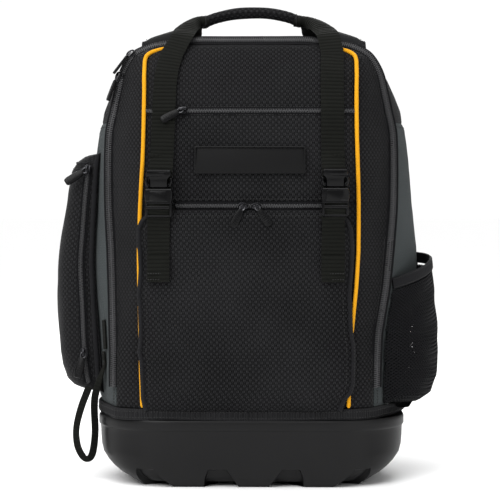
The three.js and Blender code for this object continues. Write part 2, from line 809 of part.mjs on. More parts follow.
const zUp = new THREE.Vector3(0, 0, 1);
const sliderWidth = 8;
const sliderLength = 12;
const sliderThickness = 5.4;
const pullWidth = 8;
const pullLength = 25;
const pullThickness = 2.4;
const sliderOutline = [[-0.3, -0.5], [0.3, -0.5], [0.5, 0.1], [0.4, 0.5], [-0.4, 0.5], [-0.5, 0.1]];
const pullOutline = [
  [-0.3, 0], [-0.45, -0.3], [-0.5, -0.9], [-0.3, -1],
  [0.3, -1], [0.5, -0.9], [0.45, -0.3], [0.3, 0],
];

// A slider on a zip, and the pull that hangs from it towards a direction.
function addSlider(name, frame, along, down) {
  const body = scaled(sliderOutline, sliderWidth, sliderLength);
  add(`${name}_slider`, "zipper_metal", plateOn(frame, along, body, sliderThickness));
  const top = { p: frame.p.clone().addScaledVector(frame.n, sliderThickness + gap), n: frame.n };
  const tongue = scaled(pullOutline, pullWidth, pullLength);
  add(`${name}_pull`, "zipper_pull", plateOn(top, down.clone().negate(), tongue, pullThickness));
}

const sliderLift = gap + zipperThickness + gap;
const topSlider = { x: -72, lean: -0.55 };
const pocketSliderPlaces = [
  { name: "pocket_left", side: -1, lean: -0.55 },
  { name: "pocket_right", side: 1, lean: 0.75 },
];
const mainSliderPlaces = [
  { name: "main_upper", row: 10.1, lean: -0.5 },
  { name: "main_lower", row: 8.75, lean: -0.3 },
];

function makeSliders() {
  const xLeft = new THREE.Vector3(-1, 0, 0);
  const top = onFace(topSlider.x, topZipperHeight, sliderLift);
  addSlider("top", top, xLeft, new THREE.Vector3(-1, 0, topSlider.lean).normalize());
  for (const { name, side, lean } of pocketSliderPlaces) {
    const frame = onFace((side * pocketSliderSpacing) / 2, pocketZipperHeight, sliderLift);
    addSlider(name, frame, xLeft, new THREE.Vector3(lean, 0, -1).normalize());
  }
  for (const { name, row, lean } of mainSliderPlaces) {
    const w = row - crownRow;
    const frame = onZip(w, zipLift + zipperThickness + gap);
    const along = onZip(w + step, 0).p.sub(onZip(w - step, 0).p).normalize();
    addSlider(name, frame, along, new THREE.Vector3(lean, 0, -1).normalize());
  }
}

const badgeOutline = [
  [-0.5, -0.46], [-0.49, -0.5], [0.49, -0.5], [0.5, -0.46],
  [0.5, 0.46], [0.49, 0.5], [-0.49, 0.5], [-0.5, 0.46],
];

function makeBadge() {
  const frame = onFace(0, badgeCentreHeight, gap + cloth + gap);
  const plate = scaled(badgeOutline, badgeWidth, badgeHeight);
  add("badge_plate", "badge_rubber", plateOn(frame, zUp, plate, badgeThickness));
}

// Front straps and buckles

const strapX = strapSpacing / 2;
const strapLift = gap + cloth + gap;
const buckleLift = standOff(buckleHeight) + webbingThickness + 2 * gap;
const strapRelease = 15;
const lowerStrapSteps = 4;
const socketTop = buckleHeight + socketLength;
const plugTop = socketTop + gap + plugLength;

// Where the front strap leaves the bag for the handle, and the rear strap's way from the handle to
// the back of the top. out is a share of the way from the end of the grip to strapX, back of
// gripSetBack, rise of gripRise, and width of webbingWidth.
const strapTakeoff = [
  { out: 0.885, back: -3.25, rise: 0.14, width: 1 },
  { out: 0.742, back: -2.5, rise: 0.4, width: 0.95 },
  { out: 0.563, back: -1.85, rise: 0.56, width: 0.75 },
  { out: 0.33, back: -1.45, rise: 0.65, width: 0.55 },
  { out: 0.15, back: -1.3, rise: 0.67, width: 0.45 },
  { out: 0, back: -1.3, rise: 0.67, width: 0.4 },
];
const rearStrap = [
  { out: 0, back: -0.7, rise: 0.67, width: 0.4 },
  { out: 0.12, back: -0.7, rise: 0.67, width: 0.45 },
  { out: 0.3, back: 0.2, rise: 0.54, width: 0.7 },
  { out: 0.43, back: 1.6, rise: 0.32, width: 1 },
  { out: 0.52, back: 3, rise: 0.2, width: 1 },
  { out: 0.56, back: 4.1, rise: 0.085, width: 1 },
];
const takeoffLean = -0.55;
const rearLean = 0.25;

function flyingFrames(table, side, lean) {
  const gripEnd = gripLength / 2 + gap;
  return table.map(({ out, back, rise, width }) => ({
    p: new THREE.Vector3(
      side * THREE.MathUtils.lerp(gripEnd, strapX, out),
      back * gripSetBack,
      bodyTop + rise * gripRise,
    ),
    n: new THREE.Vector3(0, lean, 1).normalize(),
    width: width * webbingWidth,
  }));
}

function makeFrontStraps() {
  for (const { name, side } of sides) {
    const x = side * strapX;
    const tucked = [socketTop - plugLength / 2, plugTop + plugLength / 3];
    const low = tucked.map((z) => onFace(x, z, buckleLift - webbingThickness - gap));
    const free = rowsBetween(rowOfHeight(plugTop + plugLength), rowOfHeight(bodyTop - strapRelease));
    const high = free.map((u) => onSurface(facePoint, u, x / sectionAt(u).piping, strapLift));
    const frames = [...low, ...high, ...flyingFrames(strapTakeoff, side, takeoffLean)];
    add(`strap_upper_${name}`, "webbing", strap(frames, webbingWidth, webbingThickness));
    const start = buckleHeight - gap;
    const down = range(start, start - lowerStrapLength, lowerStrapSteps).map((z) => onPocket(x, z, gap));
    add(`strap_lower_${name}`, "webbing", strap(down, webbingWidth, webbingThickness));
    const rear = flyingFrames(rearStrap, side, rearLean);
    add(`handle_strap_${name}`, "webbing", strap(rear, webbingWidth, webbingThickness));
  }
}

const socketOutline = [
  [-0.5, 0.04], [-0.46, 0], [0.46, 0], [0.5, 0.04],
  [0.5, 0.93], [0.44, 1], [-0.44, 1], [-0.5, 0.93],
];
const plugOutline = [
  [-0.36, 0], [0.36, 0], [0.34, 0.66], [0.5, 0.74],
  [0.48, 1], [-0.48, 1], [-0.5, 0.74], [-0.34, 0.66],
];
const slotHalfWidth = 0.37;

// A buckle's outline with a row of webbing slots, whose lower edges are shares of its height.
function slotted(outline, width, height, slots) {
  const shape = scaled(outline, width, height);
  const half = slotHalfWidth * width;
  for (const slot of slots) {
    const low = slot * height;
    const window = [[-half, low], [half, low], [half, low + slotHeight], [-half, low + slotHeight]];
    shape.holes.push(new THREE.Path(window.map(([x, y]) => new THREE.Vector2(x, y))));
  }
  return shape;
}

const socketSlots = [0.11, 0.46];

function makeBuckles() {
  const socket = slotted(socketOutline, buckleWidth, socketLength, socketSlots);
  const plug = scaled(plugOutline, buckleWidth, plugLength);
  for (const { name, side } of sides) {
    const x = side * strapX;
    const n = onFace(x, socketTop, 0).n;
    const foot = onFace(x, socketTop, buckleLift).p;
    const upright = zUp.clone().addScaledVector(n, -n.z).normalize();
    const low = { p: foot.clone().addScaledVector(upright, -socketLength), n };
    add(`buckle_socket_${name}`, "buckle_plastic", plateOn(low, zUp, socket, buckleThickness));
    const high = { p: foot.clone().addScaledVector(upright, gap), n };
    add(`buckle_plug_${name}`, "buckle_plastic", plateOn(high, zUp, plug, buckleThickness));
  }
}

// Handle and shoulder straps

// The centre line of the grip, in shares of half its length and of its rise over the bag.
const gripLine = [
  { out: -1, rise: 0.69 },
  { out: -0.92, rise: 0.7 },
  { out: -0.7, rise: 0.84 },
  { out: -0.36, rise: 0.97 },
  { out: 0, rise: 1.02 },
  { out: 0.36, rise: 1 },
  { out: 0.7, rise: 0.89 },
  { out: 0.92, rise: 0.74 },
  { out: 1, rise: 0.73 },
];
const gripSides = 10;
const gripSteps = 14;

function makeGrip() {
  const points = gripLine.map(({ out, rise }) =>
    new THREE.Vector3((out * gripLength) / 2, -gripSetBack, bodyTop + rise * gripRise));
  add("handle_grip", "padding", tube(points, gripDiameter, gripSides, gripSteps));
}

// The inner face of a shoulder strap, from the top of the back panel over and down. out is a share
// of half shoulderSpacing plus spread of shoulderSpread, back of shoulderStandOff, and drop of
// shoulderLength below the top of the bag. The last three columns are the way its thickness goes.
const shoulderLine = [
  { spread: 0, back: 0.5, drop: 0.13, width: 0.86, nx: 0, ny: -1, nz: 0 },
  { spread: 0.05, back: 0.5, drop: 0.05, width: 0.9, nx: 0, ny: -1, nz: 0.05 },
  { spread: 0.15, back: 0.55, drop: -0.03, width: 0.95, nx: 0.15, ny: -0.8, nz: 0.5 },
  { spread: 0.2, back: 0.85, drop: -0.055, width: 1, nx: 0.32, ny: 0, nz: 1 },
  { spread: 0.25, back: 1.15, drop: -0.02, width: 1, nx: 0.2, ny: 0.85, nz: 0.5 },
  { spread: 0.35, back: 1.25, drop: 0.1, width: 1, nx: 0, ny: 1, nz: 0 },
  { spread: 0.5, back: 1.3, drop: 0.35, width: 1, nx: 0, ny: 1, nz: 0 },
  { spread: 0.7, back: 1.25, drop: 0.65, width: 0.92, nx: 0, ny: 1, nz: 0 },
  { spread: 1, back: 1.1, drop: 0.93, width: 0.76, nx: 0, ny: 1, nz: 0 },
  { spread: 1, back: 1.1, drop: 1, width: 0.72, nx: 0, ny: 1, nz: 0 },
];

function makeShoulderStraps() {
  const backFace = backDepth + backPadThickness;
  for (const { name, side } of sides) {
    const frames = shoulderLine.map(({ spread, back, drop, width, nx, ny, nz }) => ({
      p: new THREE.Vector3(
        side * (shoulderSpacing / 2 + spread * shoulderSpread),
        backFace + back * shoulderStandOff,
        bodyTop - drop * shoulderLength,
      ),
      n: new THREE.Vector3(side * nx, ny, nz).normalize(),
      width: width * shoulderWidth,
    }));
    add(`shoulder_strap_${name}`, "padding", strap(frames, shoulderWidth, shoulderThickness, padSection));
    const end = frames[frames.length - 1];
    makeTail(name, side, end);
  }
}

const adjusterOutline = [
  [-0.5, 0.1], [-0.4, 0], [0.4, 0], [0.5, 0.1],
  [0.5, 0.9], [0.4, 1], [-0.4, 1], [-0.5, 0.9],
];
const adjusterSlots = [0.2, 0.64];
const tailShare = [0, 0.35, 0.7, 1];
const tailLead = 8;

// The ladder-lock buckle under a shoulder strap, and its webbing down to the foot of the back.
function makeTail(name, side, end) {
  const ladder = slotted(adjusterOutline, adjusterWidth, adjusterHeight, adjusterSlots);
  const inset = (shoulderThickness - adjusterThickness) / 2;
  const foot = new THREE.Vector3(end.p.x, end.p.y + inset, end.p.z - gap - adjusterHeight);
  const n = new THREE.Vector3(0, 1, 0);
  add(`strap_adjuster_${name}`, "buckle_plastic", plateOn({ p: foot, n }, zUp, ladder, adjusterThickness));
  const middle = foot.y + (adjusterThickness - webbingThickness) / 2;
  const from = new THREE.Vector3(foot.x, middle, foot.z - gap);
  const landing = sectionAt(0).back - backPadBevel - tailWidth / 2;
  const backFace = backDepth + backPadThickness + gap;
  const to = new THREE.Vector3(side * landing, backFace, bodyBottom + tailWidth / 2);
  const lead = from.clone().setZ(from.z - tailLead);
  const frames = [{ p: from, n }, ...tailShare.map((t) => ({ p: lead.clone().lerp(to, t), n }))];
  add(`strap_tail_${name}`, "webbing", strap(frames, tailWidth, webbingThickness));
}

// Side pocket on the left

// How far the side pocket stands out, in shares of its height and of sidePocketDepth.
const sidePocketRise = [
  { rise: 0, bulge: 0 },
  { rise: 0.015, bulge: 0.55 },
  { rise: 0.045, bulge: 0.86 },
  { rise: 0.12, bulge: 1 },
  { rise: 0.24, bulge: 0.99 },
  { rise: 0.46, bulge: 0.87 },
  { rise: 0.69, bulge: 0.79 },
  { rise: 0.83, bulge: 0.75 },
  { rise: 0.92, bulge: 0.66 },
  { rise: 0.975, bulge: 0.4 },
  { rise: 1, bulge: 0 },
];
const sidePocketColumns = [-1, -0.98, -0.93, -0.8, -0.45, 0, 0.45, 0.8, 0.93, 0.98, 1];
const sidePocketFront = 2.36;
const sidePocketBack = 3.78;
const sidePocketRoundness = 9;
const sidePocketSide = -1;

// The inner face of the side pocket at a row of its table and a share from front to back.
function sidePocketPoint(i, share) {
  const row = rowAt(sidePocketRise, i);
  const u = rowOfHeight(bodyBottom + sidePocketFoot + row.rise * sidePocketHeight);
  const v = THREE.MathUtils.lerp(sidePocketFront, sidePocketBack, (share + 1) / 2);
  const edge = 1 - Math.min(1, Math.abs(share)) ** sidePocketRoundness;
  const frame = onSurface((a, b) => bodyPoint(a, b, sidePocketSide), u, v, 0);
  return frame.p.addScaledVector(frame.n, 3 * gap + row.bulge * edge * sidePocketDepth);
}

const sideZipShare = -0.95;
const sideZipRows = [0.045, 0.12, 0.24, 0.46, 0.69, 0.83, 0.92];
const sideSliders = [
  { name: "side_upper", rise: 0.93, down: [-0.85, 0, -0.5] },
  { name: "side_lower", rise: 0.17, down: [-0.3, 0, -1] },
];

function sideZipFrame(rise, lift) {
  return onSurface(sidePocketPoint, rowOf(sidePocketRise, "rise", rise), sideZipShare, cloth + lift);
}

const tabWidth = 9;
const tabLength = 32;
const tabStation = 2.22;
const tabHeight = 161;

function makeSidePocket() {
  const frames = sidePocketRise.map((_, i) =>
    sidePocketColumns.map((share) => onSurface(sidePocketPoint, i, share, 0)));
  add("side_pocket", "black_fabric", sheet(frames, cloth, 0));
  const zip = sideZipRows.map((rise) => sideZipFrame(rise, 2 * gap));
  add("side_zipper", "zipper_tape", strap(zip, zipperWidth, zipperThickness));
  for (const { name, rise, down } of sideSliders) {
    const frame = sideZipFrame(rise, 3 * gap + zipperThickness);
    addSlider(name, frame, zUp, new THREE.Vector3(...down).normalize());
  }
  const surface = (u, v) => bodyPoint(u, v, sidePocketSide);
  const tab = [tabHeight - tabLength / 2, tabHeight, tabHeight + tabLength / 2].map((z) =>
    onSurface(surface, rowOfHeight(z), tabStation, gap));
  add("side_pocket_tab", "webbing", strap(tab, tabWidth, webbingThickness));
}

// The webbing loop that hangs in front of the side pocket, in shares of loopSpread and loopLength
// from its upper end. out is away from the bag.
const loopLine = [
  { out: 0.35, drop: 0 },
  { out: 0.75, drop: 0.25 },
  { out: 1, drop: 0.55 },
  { out: 0.95, drop: 0.8 },
  { out: 0.65, drop: 0.97 },
  { out: 0.35, drop: 1 },
  { out: 0.12, drop: 0.9 },
  { out: 0, drop: 0.6 },
  { out: 0, drop: 0.1 },
];
const loopSeatHeight = 134;
const loopSeatStation = 2.27;
const loopTop = 98;
const loopClear = 11;
const loopOut = 2.6;
const loopTwist = 0.6;

function makeLoop() {
  const anchor = sidePocketPoint(0, -1);
  const surface = (u, v) => bodyPoint(u, v, sidePocketSide);
  const tilt = new THREE.Vector3(0, -1, 0);
  const start = -baseWidth / 2 - loopOut;
  const centre = new THREE.Vector3(start - loopSpread / 2, 0, loopTop - loopLength / 2);
  const frames = loopLine.map(({ out, drop }) => {
    const z = loopTop - drop * loopLength;
    const p = new THREE.Vector3(start - out * loopSpread, anchor.y - loopClear, z);
    const away = p.clone().sub(centre).setY(0).normalize();
    return { p, n: tilt.clone().addScaledVector(away, loopTwist).normalize() };
  });
  const seat = [loopSeatHeight - loopWidth, loopSeatHeight + loopWidth].map((z) =>
    onSurface(surface, rowOfHeight(z), loopSeatStation, gap));
  add("hanging_loop", "webbing", strap([...frames, ...seat], loopWidth, webbingThickness));
}

// Net pocket on the right

const meshRise = [
  { rise: 0, bulge: 0, sag: 0 },
  { rise: 0.03, bulge: 0.5, sag: 0.7 },
  { rise: 0.1, bulge: 0.86, sag: 0.8 },
  { rise: 0.22, bulge: 1, sag: 0.5 },
  { rise: 0.4, bulge: 0.96, sag: 0.2 },
  { rise: 0.6, bulge: 0.82, sag: 0 },
  { rise: 0.8, bulge: 0.62, sag: 0 },
  { rise: 1, bulge: 0.48, sag: 0 },
];
const meshFront = 2.12;
const meshBack = 3.62;
const meshRoundness = 3;
const meshRimDip = 0.17;
const meshHeightAt = (b) => meshPocketHeight * (1 - meshRimDip * (1 - b) ** 2);

// The inner face of the net at a share of its height and a share from front to back.
function meshPoint(a, b) {
  const row = rowAt(meshRise, rowOf(meshRise, "rise", Math.min(a, 1)));
  const edge = 1 - Math.min(1, Math.abs(2 * b - 1)) ** meshRoundness;
  const sag = row.sag * edge * meshSag;
  const u = rowOfHeight(bodyBottom + meshPocketFoot + a * meshHeightAt(b));
  const v = THREE.MathUtils.lerp(meshFront, meshBack, b);
  const frame = onSurface((c, d) => bodyPoint(c, d, 1), u, v, 0);
  frame.p.addScaledVector(frame.n, gap + row.bulge * edge * meshPocketDepth);
  frame.p.z -= sag;
  return frame.p;
}

const onNet = (a, b, lift) => onSurface(meshPoint, a, b, lift);
const meshTabHeight = 38;
const meshTabReach = 18;
const meshTabThickness = 2.4;
const meshTabStation = 3.7;

function makeMeshPocket() {
  const top = 1 - gap / meshPocketHeight;
  const frameAt = (i, j) => onNet(i * top, j, 0);
  add("mesh_pocket", "mesh_fabric", net(frameAt, meshRows, meshColumns, meshStrand, meshSheet));
  const rimShare = (b) => 1 + (bindingWidth / 2 + 3 * gap) / meshHeightAt(b);
  const rim = range(0, 1, meshColumns).map((b) => onNet(rimShare(b), b, 0));
  add("mesh_binding", "webbing", strap(rim, bindingWidth, bindingThickness));
  const rimTop = bodyBottom + meshPocketFoot + meshPocketHeight + bindingWidth;
  const heights = [rimTop - meshTabHeight, rimTop - meshTabHeight / 2, rimTop];
  const seat = heights.map((z) => bodyPoint(rowOfHeight(z), meshTabStation, 1));
  const foot = seat[0];
  const inner = Math.max(...seat.map((p) => p.x)) + meshTabThickness;
  const outline = shapeOf([
    [0, 0],
    [meshTabReach, 0],
    [meshTabReach, meshTabHeight],
    [0, meshTabHeight],
  ]);
  const frame = { p: new THREE.Vector3(inner, foot.y, foot.z), n: new THREE.Vector3(0, -1, 0) };
  add("mesh_tab", "webbing", plateOn(frame, zUp, outline, meshTabThickness));
}

makeBase();
makeBand();
makeBody();
makeBackPanel();
makeFacePanels();
makeLowerPocket();
makePiping();
makeZips();
makeSliders();
makeBadge();
makeFrontStraps();
makeBuckles();
makeGrip();
makeShoulderStraps();
makeSidePocket();
makeLoop();
makeMeshPocket();

export default group;
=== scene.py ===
"""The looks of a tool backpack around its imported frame. Lengths are in millimetres until a mesh is made."""

import math

import bpy
import numpy as np
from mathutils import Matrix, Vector


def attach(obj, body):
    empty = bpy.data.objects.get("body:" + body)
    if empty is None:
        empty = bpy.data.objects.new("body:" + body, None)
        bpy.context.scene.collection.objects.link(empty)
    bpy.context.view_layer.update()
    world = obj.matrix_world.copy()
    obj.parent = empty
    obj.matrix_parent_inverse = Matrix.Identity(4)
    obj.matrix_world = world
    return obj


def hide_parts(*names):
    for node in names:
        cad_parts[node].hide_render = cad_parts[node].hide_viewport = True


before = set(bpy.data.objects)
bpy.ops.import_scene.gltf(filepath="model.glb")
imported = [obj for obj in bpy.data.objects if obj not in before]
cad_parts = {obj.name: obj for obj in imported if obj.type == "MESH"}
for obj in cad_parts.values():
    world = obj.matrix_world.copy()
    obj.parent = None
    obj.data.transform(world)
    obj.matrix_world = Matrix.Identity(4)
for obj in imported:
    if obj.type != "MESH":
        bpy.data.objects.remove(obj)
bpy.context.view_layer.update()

MM = 0.001
BODY = "root"
SIDES = (("left", -1), ("right", 1))

# Sizes of the base and the body
BASE_WIDTH, BASE_DEPTH, BASE_HEIGHT, BASE_CORNER, BASE_TAPER = 340, 228, 72, 88, 50
TREAD_COUNT, TREAD_SHIFT, TREAD_HEIGHT, TREAD_LIFT = 12, 4, 19, 5
BODY_BOTTOM, BODY_HEIGHT, BODY_TOP = 84.6, 398.0, 482.6
BODY_WIDTH, COVER_WIDTH, BACK_WIDTH = 374, 308, 310
FRONT, MIDDLE, BACK = 116, 24, 92
CROWN, CREST = 6, 6
CLOTH, WEBBING = 2.0, 1.8
STRAP_POINTS = 12
FORWARD = np.array([0.0, -1.0, 0.0])

ARCH = np.array([
    # rise, face, piping, cover, seam, widest, back, crest
    (0, .966, .72, .929, .74, .92, .9, 0),
    (.09, .99, .727, .93, .72, .94, .93, 0),
    (.18, 1, .735, .936, .69, .963, .95, 0),
    (.32, 1, .747, .961, .62, .995, .98, 0),
    (.43, 1, .753, .98, .57, 1, 1, 0),
    (.57, 1, .753, 1, .517, .968, 1, 0),
    (.735, .95, .743, .999, .466, .936, .985, 0),
    (.81, .907, .741, .965, .44, .898, .95, 0),
    (.865, .855, .742, .935, .43, .856, .91, 0),
    (.915, .785, .745, .903, .422, .8, .86, .1),
    (.957, .69, .738, .84, .431, .72, .78, .3),
    (.975, .64, .69, .766, .448, .655, .71, .5),
    (.987, .595, .585, .67, .466, .575, .62, .75),
    (.996, .545, .43, .49, .483, .425, .46, .95),
    (1, .52, .338, .38, .49, .33, .36, 1),
    (1, .52, .17, .19, .49, .165, .18, 1),
    (1, .52, 0, 0, .49, 0, 0, 1),
])
FACE_TOP_ROW, CROWN_ROW = 14, 16

# How far the piping and the zip lean out at each height, on the left and on the right
LEAN = np.array([
    # height, piping left, piping right, zip left, zip right
    (80, 5, -5, 4, -8),
    (120, 5, -5.5, 4, -8),
    (165, 4, -5, 3, -7.5),
    (215, 3.5, -1.5, 1, -2.5),
    (256, 3, 0, 0, -1),
    (300, 1.5, 0, 0, 0),
    (350, 0, 0, 0, 0),
    (500, 0, 0, 0, 0),
])


# Surfaces

def floats(*values):
    return np.broadcast_arrays(*(np.asarray(v, float) for v in values))


def read(table, at):
    """Every column of a table but its first, at places along its first."""
    return [np.interp(at, table[:, 0], table[:, k]) for k in range(1, table.shape[1])]


def lengths(path):
    """Distances along a path from its start."""
    return np.concatenate([[0], np.cumsum(np.linalg.norm(np.diff(path, axis=0), axis=1))])


def places(*spans):
    """Numbers over spans of (start, end, count), none of them twice."""
    return np.unique(np.concatenate([np.linspace(*span) for span in spans]))


def spline(rows, u):
    """Reads a table smoothly at fractional rows; it has one spare row at each end."""
    u = np.clip(np.asarray(u, float), 0, len(rows) - 3)
    i = np.minimum(u.astype(int), len(rows) - 4)
    t = (u - i)[..., None]
    a, b, c, d = (rows[i + k] for k in range(4))
    return b + 0.5 * t * (c - a + t * (2 * a - 5 * b + 4 * c - d + t * (3 * (b - c) + d - a)))


def spare(table):
    """Adds a straight spare row at each end of a table."""
    table = np.asarray(table, float)
    return np.vstack([2 * table[0] - table[1], table, 2 * table[-1] - table[-2]])


MIRROR = np.array([1, 1, -1, -1, 1, -1, -1, 1])
ARCH_ROWS = np.vstack([2 * ARCH[0] - ARCH[1], ARCH, ARCH[-2] * MIRROR])


def quadratic(a, b, c, t):
    return a * (1 - t) * (1 - 2 * t) + 4 * b * t * (1 - t) + c * t * (2 * t - 1)


def bezier(a, b, c, t):
    return a * (1 - t) ** 2 + 2 * b * t * (1 - t) + c * t * t


def section(u, side):
    """The body's outline at fractional rows: its height, then depths and half widths from the front to the back."""
    rise, face, piping, cover, seam, widest, back, crest = np.moveaxis(spline(ARCH_ROWS, u), -1, 0)
    z = BODY_BOTTOM + rise * BODY_HEIGHT
    piping_left, piping_right, zip_left, zip_right = read(LEAN, z)
    return (z, -face * FRONT, piping * COVER_WIDTH / 2 + np.where(side < 0, piping_left, piping_right),
            cover * COVER_WIDTH / 2 + np.where(side < 0, zip_left, zip_right),
            -seam * FRONT, widest * BODY_WIDTH / 2, back * BACK_WIDTH / 2, crest * CREST)


def body(u, v, side):
    """The body's outer surface: v is 0 in the middle of the front, 1 at the piping, 2 at the zip, 4 at the back."""
    u, v, side = floats(u, v, side)
    z, face, piping, cover, seam, widest, back, lift = section(u, side)
    t = np.clip(v - 1, 0, 1)
    start = face + CROWN
    reach = (seam - start) * 0.7
    flare = (4 * widest - 3 * cover - back) / (4 * MIDDLE - 3 * seam - BACK)
    x = np.where(v <= 1, piping * v, bezier(piping, cover - flare * reach, cover, t))
    y = np.where(v <= 1, face + CROWN * v * v, bezier(start, seam - reach, seam, t))
    t = np.clip((v - 2) / 2, 0, 1)
    x = np.where(v <= 2, x, quadratic(cover, widest, back, t))
    y = np.where(v <= 2, y, quadratic(seam, MIDDLE, BACK, t))
    z = np.where(v <= 2, z, z + lift * 4 * t * (1 - t))
    return np.stack([side * x, y, z], -1)


INSIDE = np.array([0, 0, BODY_BOTTOM + BODY_HEIGHT / 2])


def unit(a):
    return a / np.maximum(np.linalg.norm(a, axis=-1, keepdims=True), 1e-9)


def on(surface, a, b, lift=0.0, h=0.01, away=None):
    """Points and normals of a surface, lifted off it. The normals point outwards, or the way that away says."""
    a, b = floats(a, b)
    p = surface(a, b)
    n = unit(np.cross(surface(a + h, b) - surface(a - h, b), surface(a, b + h) - surface(a, b - h)))
    n = np.where(np.sum(n * (p - INSIDE if away is None else away), -1, keepdims=True) < 0, -n, n)
    return p + n * np.asarray(lift)[..., None], n


def on_side(side, u, v, lift=0.0):
    """Points and normals of the body on its left, -1, or its right, 1."""
    return on(lambda a, b: body(a, b, side), u, v, lift)


ROW_SAMPLES = np.linspace(0, FACE_TOP_ROW, 3000)
ROW_HEIGHTS = np.maximum.accumulate(section(ROW_SAMPLES, np.ones(3000))[0])


def row_of(z):
    return np.interp(z, ROW_HEIGHTS, ROW_SAMPLES)


def face_point(x, z):
    """A point of the front face at real places across and up."""
    x, z = floats(x, z)
    side = np.where(x < 0, -1.0, 1.0)
    u = row_of(z)
    piping = section(u, side)[2]
    return body(u, np.abs(x) / piping, side)


def on_face(x, z, lift=0.0):
    return on(face_point, x, z, lift, h=0.5, away=FORWARD)


def arch_point(w, v):
    """The body seen as one arch, w rows away from the middle of its top."""
    w, v = floats(w, v)
    return body(CROWN_ROW - np.abs(w), v, np.where(w < 0, -1.0, 1.0))


def waves(points, size, seed, count=7):
    """Smooth seeded unevenness from about -1 to 1, that changes over a size in millimetres."""
    rng = np.random.default_rng(seed)
    total = np.zeros(points.shape[:-1])
    for _ in range(count):
        way = unit(rng.normal(size=3))
        total += np.sin(points @ way * (2 * np.pi / (size * rng.uniform(0.7, 1.6))) + rng.uniform(0, 2 * np.pi))
    return total / count * 1.8


# Meshes

def grid_faces(rows, columns, wrap=False):
    i, j = np.meshgrid(np.arange(rows - 1), np.arange(columns if wrap else columns - 1), indexing="ij")
    k = (j + 1) % columns
    return np.stack([i * columns + j, i * columns + k, (i + 1) * columns + k, (i + 1) * columns + j], -1).reshape(-1, 4)


def tube_faces(rings, sides, closed=False):
    """Faces of a tube of rings, which is a closed loop or has a cap at each end."""
    if closed:
        return [tuple(f) for f in grid_faces(rings + 1, sides, wrap=True) % (rings * sides)]
    caps = [tuple(range(sides))[::-1], tuple(range((rings - 1) * sides, rings * sides))]
    return [tuple(f) for f in grid_faces(rings, sides, wrap=True)] + caps


def added(name, data, spot=(0, 0, 0), way=None):
    """A new object in the scene, which may be turned to look along a direction."""
    obj = bpy.data.objects.new(name, data)
    bpy.context.scene.collection.objects.link(obj)
    obj.location = spot
    if way is not None:
        obj.rotation_mode = "QUATERNION"
        obj.rotation_quaternion = Vector(way).to_track_quat("-Z", "Y")
    return obj


class Piece:
    """Closed shells gathered into one object, each with a finish and its own cloth coordinates."""

    def __init__(self, name, slot):
        self.name, self.slot = name, slot
        self.points, self.faces, self.weave, self.finish = [], [], [], []
        self.count = 0

    def add(self, points, faces, weave=None, finish=None):
        points = np.asarray(points, float).reshape(-1, 3)
        self.points.append(points)
        self.weave.append(points[:, [0, 2]] if weave is None else np.asarray(weave, float).reshape(-1, 2))
        self.faces += [tuple(int(i) + self.count for i in f) for f in faces]
        self.finish += [finish or self.slot] * len(faces)
        self.count += len(points)

    def done(self, *nodes, fill=None, angle=40):
        """Makes the object, which stands for nodes of the frame; fill is not used."""
        mesh = bpy.data.meshes.new(self.name)
        mesh.from_pydata((np.vstack(self.points) * MM).tolist(), [], self.faces)
        mesh.update()
        names = sorted(set(self.finish))
        for name in names:
            mesh.materials.append(material(name))
        mesh.polygons.foreach_set("material_index", [names.index(f) for f in self.finish])
        weave = mesh.attributes.new("weave", "FLOAT_VECTOR", "POINT")
        weave.data.foreach_set("vector", np.pad(np.vstack(self.weave), ((0, 0), (0, 1))).ravel())
        obj = added(self.name, mesh)
        mesh.polygons.foreach_set("use_smooth", [True] * len(self.faces))
        mesh.set_sharp_from_angle(angle=math.radians(angle))
        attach(obj, BODY)
        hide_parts(*nodes)


def arc_lengths(points, axis):
    """Distances along one axis of a grid of points, from its start."""
    steps = np.linalg.norm(np.diff(points, axis=axis), axis=-1)
    pad = [(0, 0)] * steps.ndim
    pad[axis] = (1, 0)
    return np.cumsum(np.pad(steps, pad), axis=axis)


def cloth_grid(points):
    """Cloth coordinates of a grid: across from its middle column, and up along it."""
    across = arc_lengths(points, 1)
    middle = points.shape[1] // 2
    across = across - across[:, middle:middle + 1]
    up = arc_lengths(points, 0)[:, middle:middle + 1]
    return np.stack([across, np.broadcast_to(up, across.shape)], -1)


def edge_distance(points, edges="lrbt"):
    """How far each point of a grid is from the grid's chosen edges."""
    across, up = arc_lengths(points, 1), arc_lengths(points, 0)
    options = {"l": across, "r": across[:, -1:] - across, "b": up, "t": up[-1:] - up}
    return np.minimum.reduce([options[e] for e in edges])


def cloth_rows(across, along):
    """Cloth coordinates of a sweep: across its section, and along its path."""
    return np.stack(np.broadcast_arrays(across[None], along[:, None]), -1)


def sheet(piece, outer, inner, turned, weave):
    """A closed sheet between two grids of points; turned says that the outer faces wind the other way."""
    rows, columns = outer.shape[:2]
    n = rows * columns
    top = grid_faces(rows, columns)
    at = np.arange(n).reshape(rows, columns)
    ring = np.concatenate([at[0, :-1], at[:-1, -1], at[-1, :0:-1], at[:0:-1, 0]])
    ahead = np.roll(ring, -1)
    side = np.stack([ring, ahead, ahead + n, ring + n], -1)
    if turned:
        top = top[:, ::-1]
    else:
        side = side[:, ::-1]
    piece.add(np.concatenate([outer.reshape(-1, 3), inner.reshape(-1, 3)]), np.vstack([top, top[:, ::-1] + n, side]),
              np.concatenate([weave.reshape(-1, 2)] * 2))


def shell(piece, points, normals):
    """A closed sheet of cloth from a grid of points on its outer side, thinner along its rim."""
    inner = points - normals * CLOTH
    rim = np.zeros(points.shape[:2], bool)
    rim[[0, -1]] = rim[:, [0, -1]] = True
    outer = inner + normals * (CLOTH * np.where(rim, 0.7, 1.0))[..., None]
    turned = np.sum(np.cross(outer[1, 0] - outer[0, 0], outer[0, 1] - outer[0, 0]) * normals[0, 0]) > 0
    sheet(piece, outer, inner, turned, cloth_grid(inner))


